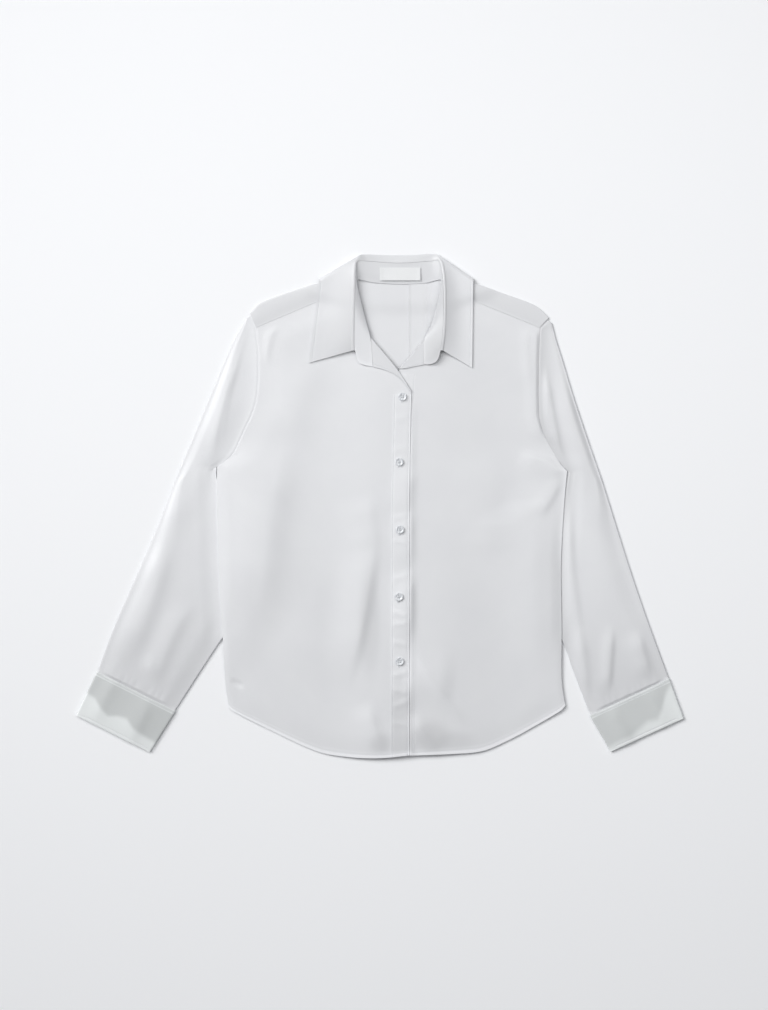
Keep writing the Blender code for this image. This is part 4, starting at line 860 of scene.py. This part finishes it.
cuffCreases = (
    (-398, -292, -428, -352, 4, 14, 1.3, 0.3),
    (-352, -318, -384, -384, -4, 15, 1.5, 0.3),
    (-438, -344, -372, -380, 3, 12, -0.9, 0),
    (296, -332, 322, -380, 4, 14, 1.4, 0.3),
    (346, -306, 372, -362, -3, 15, 1.4, -0.3),
    (384, -344, 318, -380, -3, 12, -0.9, 0),
)
# Painted highlight on the cuffs, a pale gloss painted into the colour: how far it reaches in from the open
# end, at shares of the width from the outer fold to the inner one, in millimetres.
cuffPaintedHighlight = {
    "right": ((0, 0.1, 0.22, 0.34, 0.45, 0.56, 0.68, 0.8, 0.9, 1), (34, 33, 25, 20, 25, 27, 20, 18, 16, 15)),
    "left": ((0, 0.1, 0.2, 0.3, 0.42, 0.55, 0.68, 0.8, 0.92, 1), (50, 40, 25, 15, 17, 12, 8, 9, 6, 5)),
    "strength": 3.6,
    "softness": {"right": 7.5, "left": 13.0},
    "ground": {"right": 0.0, "left": 0.7},
}


def paintedHighlightPatches(side, share, fromEdge):
    reach = np.interp(share, *cuffPaintedHighlight[side])
    wavy = 0.8 * np.sin(share * 13 + 1.0)
    return cuffPaintedHighlight["strength"] * smooth((reach + wavy - fromEdge) / cuffPaintedHighlight["softness"][side] + 0.5)


def makeCuff(side):
    seamOuter, seamInner, openOuter, openInner = cuffCorners(side)
    shape = cuffShape
    length = norm(openOuter - seamOuter)
    near = np.array(shape["seamRows"]) / length
    edge = 1 - np.array(shape["edgeRows"]) / length
    rows = np.concatenate([near, np.linspace(near[-1], edge[-1], shape["rows"])[1:-1], edge[::-1]])
    outer = seamOuter + (openOuter - seamOuter) * rows[:, None]
    inner = seamInner + (openInner - seamInner) * rows[:, None]
    columns = evenly(shape["columns"])
    plan = between(outer, inner, columns)
    x, y = plan[..., 0], plan[..., 1]
    sides = ramp(columns, shape["rounded"]) * ramp(1 - columns, shape["rounded"])
    fromSeam, fromEdge = rows * length, (1 - rows) * length
    welt = shape["weltRise"] * ramp(shape["welt"] + 0.6 - fromSeam, 0.9)
    stitched = (shape["weltStitch"], shape["welt"] - shape["weltStitch"])
    dents = sum(hump(fromSeam - at, 0.6) for at in stitched)
    dents = dents + hump(fromEdge - shape["stitch"], 0.7)
    rounded = hump(fromEdge, 0.9) * 0.5 + hump(fromSeam, 0.7) * 0.4
    low = np.full(x.shape, layers["doubleWall"] / 2)
    top = low + shape["layers"] + (shape["crown"] + creaseHeight(cuffCreases, x, y)) * sides[None]
    top = top + ((welt - shape["dent"] * dents - rounded)[:, None]) * smooth(sides * 3)[None]
    folds = [halfBend(plan[:, k], awayFrom(plan[:, k], plan[:, m]), low[:, k], top[:, k], 6)
             for k, m in ((0, 1), (-1, -2))]
    grids = [np.dstack([plan, top]), np.dstack([plan, low])] + folds
    width = 2 * norm(openOuter - openInner)
    # painted highlights along the welt, its grooves and the open rim, over the painted gloss patches
    weltPaintedHighlight = shape["weltHighlightStrength"] * ramp(shape["welt"] + 0.8 - fromSeam, 0.8)
    grooves = (0.4, shape["welt"])
    weltPaintedHighlight = weltPaintedHighlight + sum(shape["grooveHighlightStrength"] * hump(fromSeam - at, 0.8) for at in grooves)
    rim = shape["rimHighlightStrength"] * hump(fromEdge, 1.2)
    paintedGloss = cuffPaintedHighlight["ground"][side] + paintedHighlightPatches(side, columns[None, :], fromEdge[:, None])
    paintedLightAndPlies = paintedGloss + (weltPaintedHighlight + rim)[:, None]
    clothPiece("cuff_" + side + "Tube", grids, "cuff_" + side, (width, length),
               [paintedLightAndPlies, 0.0, paintedLightAndPlies[:, 0][None, :], paintedLightAndPlies[:, -1][None, :]], shape["wall"], shadedCuffSatin)
    return grids[0], fromSeam, fromEdge


stand = {
    "steps": 150, "rows": 12, "seat": 1.4, "sink": 1.8, "endRows": 11, "backY": 258,
    "paintedWallShading": {"right": 0.9, "back": -0.6, "left": -2.0},
    "foot": ((-38.3, 144.7, 4.7), (-39.6, 164, 4.7), (-41.7, 184, 4.9), (-48.8, 210, 4.8), (-55.8, 238, 5.4),
             (-60.2, 256, 6.2), (-59.8, 265.6, 6.2), (-52, 265.4, 5.2), (-36, 262.2, 4.2), (4.2, 260.2, 3.6),
             (36, 261.9, 4.2), (50, 265.2, 5.2), (57.8, 265.6, 6.2), (58.2, 256, 6.2), (52.9, 232, 5.4),
             (45.8, 206, 4.8), (34.7, 183, 4.9), (33.3, 165, 4.7), (32.7, 147.3, 4.7)),
    "crest": ((-62.8, 167, 9.5), (-63.6, 180, 11), (-63.6, 196, 12.2), (-63.4, 216, 13.2), (-63, 240, 13.6),
              (-62.6, 262, 13), (-62, 279, 11), (-59, 291, 7.6), (-46, 291.6, 4.6), (0, 289.2, 4.2),
              (44, 291.8, 4.6), (54.5, 291.6, 8), (58.5, 280, 13), (60.2, 262, 16.5), (60.8, 240, 18),
              (60.6, 216, 18), (59.8, 196, 18), (58.4, 180, 17), (56.6, 167, 14.5)),
    "endRight": ((-38.3, 144.7), (-49, 146.4), (-57.5, 150.5), (-62.8, 167)),
    "endLeft": ((32.7, 147.3), (45.5, 148.6), (52.5, 154), (56.6, 167)),
}


def makeStand():
    places = evenly(stand["steps"])
    foot, crest = lineAt(stand["foot"], places), lineAt(stand["crest"], places)
    onFront = foot[:, 1] < stand["backY"]
    seat = heightFront(foot[:, 0], foot[:, 1]) + stand["seat"]
    foot[onFront, 2] = np.maximum(foot[onFront, 2], seat[onFront])
    rows = evenly(stand["rows"])

    def endCurve(plan, low, high):
        return np.column_stack([lineAt(plan, rows), low + (high - low) * rows])

    start = endCurve(stand["endRight"], foot[0, 2], crest[0, 2])
    end = endCurve(stand["endLeft"], foot[-1, 2], crest[-1, 2])
    grid = between(foot, crest, rows)
    fade = np.clip(1 - np.arange(len(foot)) / stand["endRows"], 0, 1)[:, None, None] ** 2
    grid = grid + fade * (start - grid[0])[None] + fade[::-1] * (end - grid[-1])[None]
    sinks = stand["sink"] * ramp(foot[:, 1] - 254, 8)
    grid[..., 2] -= sinks[:, None] * (1 - rows[None, :]) ** 2
    fromEnd = np.minimum(np.arange(len(foot)), np.arange(len(foot))[::-1])
    # painted highlight along the stand's foot and ends
    rims = np.maximum(hump(rows[None, :], 0.07), hump(fromEnd[:, None], 1.2))
    # painted shade and light on the stand's inner walls: the wearer's left wall, which turns to the light,
    # is painted darker, the right one lighter and the back a little darker
    atSides = np.where(foot[:, 0] < 0, stand["paintedWallShading"]["right"], stand["paintedWallShading"]["left"])
    atBack = ramp(foot[:, 1] - 246, 14)
    paintedWallShading = (atSides + (stand["paintedWallShading"]["back"] - atSides) * atBack)[:, None]
    clothPiece("collarStandBand", [grid], "collar_stand", (curveLength(stand["foot"]), 29),
               [paintedWallShading + 0.9 * rims], layers["doubleWall"])
    return grid


fall = {
    "rows": 30, "crown": 2.1, "roll": 3.6, "backEdge": 246.0, "stitch": 4.0, "dent": 0.2, "air": 1.85,
    "lowZ": 0.7, "middleY": 215.0, "frontTop": 256.0, "rollRows": 6, "bulge": (0.2, 0.7),
    "centrePaintedShade": -0.6, "centreFade": 60,
    "right": {"topCorner": (-60.5, 294.0), "sideCorner": (-113.5, 263.8), "point": (-127.4, 149.8),
              "plyToneAndPaintedLight": (-1.5, -1.5, -0.3)},
    "left": {"topCorner": (56.5, 294.0), "sideCorner": (102.2, 263.8), "point": (100.8, 142.8),
             "plyToneAndPaintedLight": (-1.6, 0.5, 0.6)},
}


def foldRound(points, corner, sideCorner, topZ, lowZ):
    # carries what lies beyond the line between the corners round it, to lie beneath
    along = (sideCorner - corner) / norm(sideCorner - corner)
    normal = np.array([-along[1], along[0]])
    normal = normal * np.sign(normal[1])
    off = points - corner
    beyond, s = off @ normal, off @ along
    radius = (topZ - lowZ) / 2
    angle = np.clip(beyond / radius, 0, math.pi)
    flat = np.minimum(beyond, 0) + radius * np.sin(angle) - np.maximum(beyond - math.pi * radius, 0)
    z = np.where(beyond <= 0, topZ, lowZ + radius * (1 + np.cos(angle)))
    plan = corner + s[..., None] * along + flat[..., None] * normal
    return np.dstack([plan, z])


def mirroredAt(points, corner, sideCorner):
    along = (sideCorner - corner) / norm(sideCorner - corner)
    off = points - corner
    return corner + 2 * (off @ along)[:, None] * along - off


def makeFall(standGrid):
    edge, below = standGrid[:, -1], standGrid[:, -2]
    along = np.gradient(edge, axis=0)
    along /= norm(along, axis=1)[:, None]
    rise = edge - below
    rise -= along * np.sum(rise * along, axis=1)[:, None]
    rise /= norm(rise, axis=1)[:, None]
    firstRow = edge + rise * 0.25
    centre = len(edge) // 2
    fractions = 1 - spread(1.0, (0, 0.012, 0.024, 0.036, 0.048, 0.06, 0.072, 0.084, 0.1), fall["rows"])[::-1]
    halves, paintedShades, stitchLines = [], [], []
    for key, stations in (("right", slice(0, centre + 1)), ("left", slice(len(edge) - 1, centre - 1, -1))):
        shape = fall[key]
        tip, corner, sideCorner = [np.array(shape[k]) for k in ("point", "topCorner", "sideCorner")]
        sign = np.sign(tip[0])
        start = firstRow[stations]
        lying = start[:, :2]
        away = normalsOf(lying, (sign, 0))
        away *= np.sign(np.sum(away * (lying - np.array([0.0, fall["middleY"]])), axis=1))[:, None]
        cornerAt = int(np.argmin(norm(lying - corner, axis=1)))
        way = lengthsOf(lying[:cornerAt + 1])
        middle = (tip[0] * 0.4 + sideCorner[0] * 0.6, fall["middleY"])
        outerFront = lineAt((tuple(tip), middle, tuple(sideCorner)), way / way[-1])
        t = np.linspace(0, 1, len(lying) - cornerAt)[1:]
        backX = sideCorner[0] * (1 - t)
        backY = sideCorner[1] - 2 + (fall["backEdge"] - sideCorner[1] + 2) * np.sin(t * math.pi / 2)
        front, rear = slice(None, cornerAt + 1), slice(cornerAt + 1, None)
        flatInner = np.vstack([lying[front] + away[front] * fall["roll"],
                               mirroredAt(lying[rear] + np.array([0, 0.6]), corner, sideCorner)])
        flatOuter = np.vstack([outerFront, mirroredAt(np.stack([backX, backY], axis=1), corner, sideCorner)])
        plan = between(flatInner, flatOuter, fractions)
        ground = heightFront(plan[..., 0], np.minimum(plan[..., 1], fall["frontTop"])) + fall["air"]
        ridge = np.maximum(start[:, 2][:, None] - 0.5 - ground, 0.0)
        topZ = ground + ridge * (1 - fractions[None, :]) ** fall["crown"]
        half = foldRound(plan, corner, sideCorner, topZ, fall["lowZ"])
        fromEdge = norm(flatOuter - flatInner, axis=1)[:, None] * (1 - fractions)[None, :]
        stitched = hump(fromEdge - fall["stitch"], 0.9) * fall["dent"]
        half[..., 2] -= stitched * (half[..., 2] > 3)
        bulge = (start + half[:, 0]) / 2
        bulge[:, :2] += away * fall["bulge"][0]
        bulge[:, 2] += fall["bulge"][1]
        control = 2 * bulge - (start + half[:, 0]) / 2
        roll = [start * (1 - w) ** 2 + control * 2 * w * (1 - w) + half[:, 0] * w * w
                for w in evenly(fall["rollRows"])[:-1]]
        halves.append(np.concatenate([np.stack(roll, axis=1), half], axis=1))
        # painted shade and light on the fall: its roll, inner and outer parts, with painted shade near the
        # centre back
        rolled, inner, outer = shape["plyToneAndPaintedLight"]
        paintedRowShading = np.concatenate([np.full(fall["rollRows"], rolled), inner + (outer - inner) * fractions])
        besideCentre = ramp(lengthsOf(lying[::-1])[::-1], fall["centreFade"])[:, None]
        paintedShades.append(besideCentre * paintedRowShading[None, :] + fall["centrePaintedShade"] * (1 - besideCentre))
        inset = np.array([np.interp(-fall["stitch"], -fromEdge[k], np.arange(len(fractions)))
                          for k in range(cornerAt)])
        stitchLines.append(np.array([[np.interp(inset[k], np.arange(len(fractions)), half[k, :, c])
                                      for c in range(3)] for k in range(1, cornerAt)]))
    joint = (halves[0][-1] + halves[1][-1]) / 2
    joint[:, 0] = 0.0
    halves[0][-1] = joint
    halves[1][-1] = joint
    clothPiece("collarFallLeaf", halves, "collar_fall", (440, 90),
               paintedShades, layers["doubleWall"])
    return stitchLines


label = {"halfWidth": 28.5, "low": 265.0, "high": 283.0, "wall": 0.5, "above": 0.5, "turn": 4.5,
         "turnRise": 0.25, "waves": 0.18}


def makeLabel(standGrid):
    # a bare ribbon on the stand's inner face, its short ends turned under and a little uneven
    x = np.linspace(-label["halfWidth"], label["halfWidth"], 41)
    y = np.linspace(label["low"], label["high"], 15)
    atBack = (np.abs(standGrid[:, 0, 0]) < label["halfWidth"] + 6) & (standGrid[:, 0, 1] > label["low"] - 10)
    height = standGrid[atBack][..., 2].max() + layers["doubleWall"] / 2 + label["above"]
    plan = np.stack(np.meshgrid(x, y), axis=2)
    turned = label["turnRise"] * smooth(np.abs(plan[..., 0]) - label["halfWidth"] + label["turn"])
    z = height + turned + label["waves"] * np.sin(plan[..., 0] / 9 + 0.6) * np.sin(plan[..., 1] / 7)
    clothPiece("neckLabelRibbon", [np.dstack([plan, z])], "neck_label", (57, 18),
               None, label["wall"], ribbon)


button = {"radius": 5.6, "height": 2.2, "rounding": 0.45, "hole": 0.75, "holePlace": 1.5,
          "dish": ((1.3, 0), (0.7, 0.6), (0.9, 0.1)),     # widths of its rings, and how deep each one steps
          "front": ((3.5, 102.2), (-1.0, 11.2), (0.0, -83.4), (-1.5, -177.2), (-0.4, -267.4)),
          "stand": (45.2, 161.5), "above": 0.25, "lift": 0.1, "threads": 0.28, "threadTop": 1.75}


def cylinder(sides, radius, depth, place):
    bpy.ops.mesh.primitive_cylinder_add(vertices=sides, radius=radius * mm, depth=depth * mm,
                                        location=[c * mm for c in place])
    return bpy.context.object


def makeButton():
    # a turned four-hole button: dished inside a rounded rim, holes cut through
    selectOnly()
    piece = cylinder(48, button["radius"], button["height"], (0, 0, button["height"] / 2))
    bpy.ops.object.transform_apply(location=True, rotation=True, scale=True)
    bpy.ops.object.mode_set(mode="EDIT")
    bpy.ops.mesh.select_all(action="DESELECT")
    bpy.ops.object.mode_set(mode="OBJECT")
    for face in piece.data.polygons:
        face.select = face.normal.z > 0.9
    bpy.ops.object.mode_set(mode="EDIT")
    for width, sink in button["dish"]:
        bpy.ops.mesh.inset(thickness=width * mm)
        bpy.ops.transform.translate(value=(0, 0, -sink * mm))
    bpy.ops.object.mode_set(mode="OBJECT")
    rounding = piece.modifiers.new("rounding", "BEVEL")
    rounding.width = button["rounding"] * mm
    rounding.segments = 3
    rounding.limit_method = "ANGLE"
    rounding.angle_limit = math.radians(40)
    applyAll(piece)
    for turn in np.arange(4) * math.pi / 2 + math.pi / 4:
        place = (button["holePlace"] * math.cos(turn), button["holePlace"] * math.sin(turn), 0)
        drill = cylinder(16, button["hole"], 4 * button["height"], place)
        cut = piece.modifiers.new("hole", "BOOLEAN")
        cut.operation = "DIFFERENCE"
        cut.solver = "EXACT"
        cut.object = drill
        applyAll(piece)
        bpy.data.objects.remove(drill, do_unlink=True)
    selectOnly(piece)
    bpy.ops.object.shade_smooth_by_angle(angle=math.radians(35))
    piece.data.materials.clear()
    piece.data.materials.append(pearl)
    piece.select_set(False)
    return piece


sewing = {"pitch": 3.0, "length": 2.4, "thread": 0.26, "reach": 0.55, "flatness": 0.8, "above": 0.12}


def makeStrand(sides=6, rings=5):
    # one length of thread along X, thick in the middle and drawn into the cloth at its ends
    turns = np.arange(sides) * 2 * math.pi / sides
    around = np.stack([np.zeros(sides), np.cos(turns), np.sin(turns)], axis=1)
    leans = np.arange(1, rings) * math.pi / rings
    middle = [around * math.sin(lean) + (-math.cos(lean), 0, 0) for lean in leans]
    points = np.vstack([[(-1, 0, 0)], *middle, [(1, 0, 0)]])
    faces = []
    for k in range(sides):
        after, tip = (k + 1) % sides, len(points) - 1
        faces += [(0, 1 + after, 1 + k), (tip, tip - sides + k, tip - sides + after)]
        faces += [(1 + ring + k, 1 + ring + after, 1 + ring + sides + after, 1 + ring + sides + k)
                  for ring in range(0, (rings - 2) * sides, sides)]
    return points, faces


def sewn(name, strands, width):
    # strands: start and end of each length of thread, in millimetres
    points, faces = [], []
    shape, sides = strandShape
    for start, end in strands:
        start, end = np.array(start), np.array(end)
        along = end - start
        length = norm(along)
        along = along / length
        across = np.cross((0, 0, 1.0), along)
        across /= norm(across)
        up = np.cross(along, across)
        middle = (start + end) / 2
        placed = (middle + shape[:, :1] * along * length * sewing["reach"] + shape[:, 1:2] * across * width
                  + shape[:, 2:] * up * width * sewing["flatness"])
        faces.extend([tuple(i + len(points) for i in f) for f in sides])
        points.extend((placed * mm).tolist())
    mesh = bpy.data.meshes.new(name)
    mesh.from_pydata(points, [], faces)
    mesh.shade_smooth()
    piece = newObject(name, mesh)
    mesh.materials.append(thread)
    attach(piece, "root")


def sewLines(name, lines, lift):
    # even stitches along lines on the cloth, raised by the given height
    strands = []
    for line in lines:
        lengths = lengthsOf(line)
        count = int(lengths[-1] / sewing["pitch"])
        for k in range(count):
            at = (k + 0.5) * lengths[-1] / count
            strands.append([[np.interp(at + s * sewing["length"] / 2, lengths, line[:, c]) for c in range(3)]
                            + np.array([0, 0, lift]) for s in (-1, 1)])
    sewn(name, strands, sewing["thread"])


def placedCopy(source, name, node, place, turn=None):
    # a copy with its own mesh, its place kept in the mesh
    piece = newObject(name, source.data.copy())
    moved = bmesh.new()
    moved.from_mesh(piece.data)
    if turn is not None:
        bmesh.ops.rotate(moved, verts=moved.verts, cent=(0, 0, 0), matrix=turn)
    bmesh.ops.translate(moved, verts=moved.verts, vec=[c * mm for c in place])
    moved.to_mesh(piece.data)
    moved.free()
    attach(piece, "root")
    if node:
        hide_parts(node)


def makeButtonhole():
    # a worked buttonhole: a ring of thread drawn out to 13 mm
    selectOnly()
    bpy.ops.mesh.primitive_torus_add(major_radius=0.9 * mm, minor_radius=0.45 * mm, major_segments=28,
                                     minor_segments=8)
    piece = bpy.context.object
    for v in piece.data.vertices:
        v.co.y += math.copysign(5.4 * mm, v.co.y)
        v.co.z *= 0.7
    piece.data.shade_smooth()
    piece.data.materials.clear()
    piece.data.materials.append(thread)
    return piece


strandShape = makeStrand()
makeBack()
print("back is laid")
edgeR, stripR, hemR, lapelR = makeFront(frontRight)
edgeL, stripL, hemL, lapelL = makeFront(frontLeft)
print("fronts are laid")
bandR = makeBand("placketRightStrip", "placket_right", frontRight, edgeR, stripR, hemR, 1)
bandL = makeBand("placketLeftStrip", "placket_left", frontLeft, edgeL, stripL, hemL, 2)
makeSleeve(sleeveRight)
makeSleeve(sleeveLeft)
print("sleeves are laid")
cuffTops = {side: makeCuff(side) for side in ("right", "left")}
standGrid = makeStand()
collarStitches = makeFall(standGrid)
makeLabel(standGrid)
print("collar is on")

buttonShape = makeButton()
holeShape = makeButtonhole()
crossStrands = []
for number, (x, y) in enumerate(button["front"], start=1):
    around = float(heightFront(np.array([x - 6.0, x, x + 6.0]), np.full(3, y), True).max())
    seatZ = around + layers["bandLift"] + layers["wall"] / 2 + button["above"]
    placedCopy(buttonShape, f"shirtButton{number}", f"button_{number}", (x, y, seatZ + button["lift"]))
    placedCopy(holeShape, f"buttonhole{number}", None, (x - 1.2, y - 1.5, seatZ - 0.1), None)
    d = button["holePlace"] * math.cos(math.pi / 4)
    for side in (-1, 1):
        for shift in (-0.3, 0.3):
            threadX, threadZ = x + side * d + shift, seatZ + button["threadTop"]
            crossStrands.append(((threadX, y - d - 0.3, threadZ), (threadX, y + d + 0.3, threadZ)))
near = np.argsort(norm(standGrid.reshape(-1, 3)[:, :2] - np.array(button["stand"]), axis=1))[:12]
patch = standGrid.reshape(-1, 3)[near]
slope = np.linalg.lstsq(np.column_stack([patch[:, :2], np.ones(len(near))]), patch[:, 2], rcond=None)[0]
upward = np.array([-slope[0], -slope[1], 1.0])
upward /= norm(upward)
under = np.array([*button["stand"], slope @ (*button["stand"], 1.0)])
under = under - upward * (layers["doubleWall"] / 2 + 0.5)
placedCopy(buttonShape, "standButton", "button_stand", under,
           Vector((0, 0, 1)).rotation_difference(Vector(-upward)).to_matrix())
bpy.data.objects.remove(buttonShape, do_unlink=True)
bpy.data.objects.remove(holeShape, do_unlink=True)
sewn("buttonThreads", crossStrands, button["threads"])
print("buttons are on")


surface = layers["wall"] / 2 + sewing["above"]


def bandLine(grid, fromEdge):
    at = fromEdge / frontRows["bandWidth"] * (grid.shape[1] - 1)
    low = int(at)
    return grid[:, low] + (grid[:, low + 1] - grid[:, low]) * (at - low)


def hemLine(over, firstX, lastX):
    x = np.linspace(firstX, lastX, 160)
    y = hemY(x) + hemTurn["width"] - 0.8
    return np.stack([x, y, heightFront(x, y, over) + surface + 0.05], axis=1)


def cuffLine(side, distance, ends):
    # the row of a cuff nearest to a distance from its seam, or from its open edge
    top, *ways = cuffTops[side]
    return top[int(np.argmin(np.abs(ways[ends] - distance))), 2:-2]


insets = (bandStitch["inset"], frontRows["bandWidth"] - bandStitch["inset"])
cuffRows = ((cuffShape["weltStitch"], 0), (cuffShape["welt"] - cuffShape["weltStitch"], 0),
            (cuffShape["stitch"], 1))
sewLines("placketStitches", [bandLine(grid, inset) for grid in (bandR, bandL) for inset in insets], surface)
sewLines("hemStitches", [hemLine(True, -230, -13), hemLine(False, 22, 224)], 0.0)
sewLines("collarStitches", collarStitches, layers["doubleWall"] / 2 + 0.1)
sewLines("cuffStitches", [cuffLine(side, *row) for side in cuffTops for row in cuffRows],
         cuffShape["wall"] / 2 + 0.1)
sewLines("lapelStitches", (lapelR[-3], lapelL[-3]), surface)
print("sewing is done")


studio = {
    "centre": (-22.4, -49.0), "distance": 4.0, "seenHeight": 1.414, "sensor": 36.0,
    "floor": {"size": 9.0, "z": -0.0004, "colour": "f6f7f9"}, "room": ("f8f9fb", 0.26),
    # kind, place, power, and the sun's angle or the side of a square softbox
    "lamps": {"windowFar": ("SUN", (-2.0, 1.2, 1.64), 1.76, 0.49),
              "windowTop": ("AREA", (-0.5, 1.0, 1.7), 7.1, 0.9),
              "softboxLeft": ("AREA", (-0.9, 0.3, 1.6), 6.0, 0.9),
              "fillRight": ("AREA", (0.95, 0.5, 1.7), 6.2, 0.8)},
}


def makeStudio():
    selectOnly()
    bpy.ops.mesh.primitive_plane_add(size=studio["floor"]["size"], location=(0, 0, studio["floor"]["z"]))
    floor = bpy.context.object
    floor.name = "paperFloor"
    bpy.ops.object.transform_apply(location=True, rotation=True, scale=True)
    finish = {"Roughness": 0.9, "Specular IOR Level": 0.2, "Base Color": seen(studio["floor"]["colour"])}
    floor.data.materials.append(newMaterial("mattePaper", finish)[0])

    centreX, centreY = [c * mm for c in studio["centre"]]
    view = bpy.data.cameras.new("straightDown")
    view.sensor_fit = "VERTICAL"
    view.sensor_height = studio["sensor"]
    view.lens = studio["sensor"] * studio["distance"] / studio["seenHeight"]
    camera = newObject("straightDown", view)
    camera.location = (centreX, centreY, studio["distance"])
    bpy.context.scene.camera = camera

    for name, (kind, place, power, size) in studio["lamps"].items():
        lamp = bpy.data.lights.new(name, kind)
        lamp.energy = power
        if kind == "SUN":
            lamp.angle = size      # a wide far window: soft shadows, and folds read all over
        else:
            lamp.shape = "SQUARE"
            lamp.size = size
        light = newObject(name, lamp)
        light.location = place
        light.rotation_euler = (-Vector(place)).to_track_quat("-Z", "Y").to_euler()

    colour, strength = studio["room"]
    world = bpy.data.worlds.new("softRoom")
    bpy.context.scene.world = world
    world.use_nodes = True
    sky = world.node_tree.nodes["Background"].inputs
    sky["Color"].default_value = seen(colour)
    sky["Strength"].default_value = strength
    bpy.context.scene.view_settings.view_transform = "Standard"


makeStudio()
print("scene is ready")
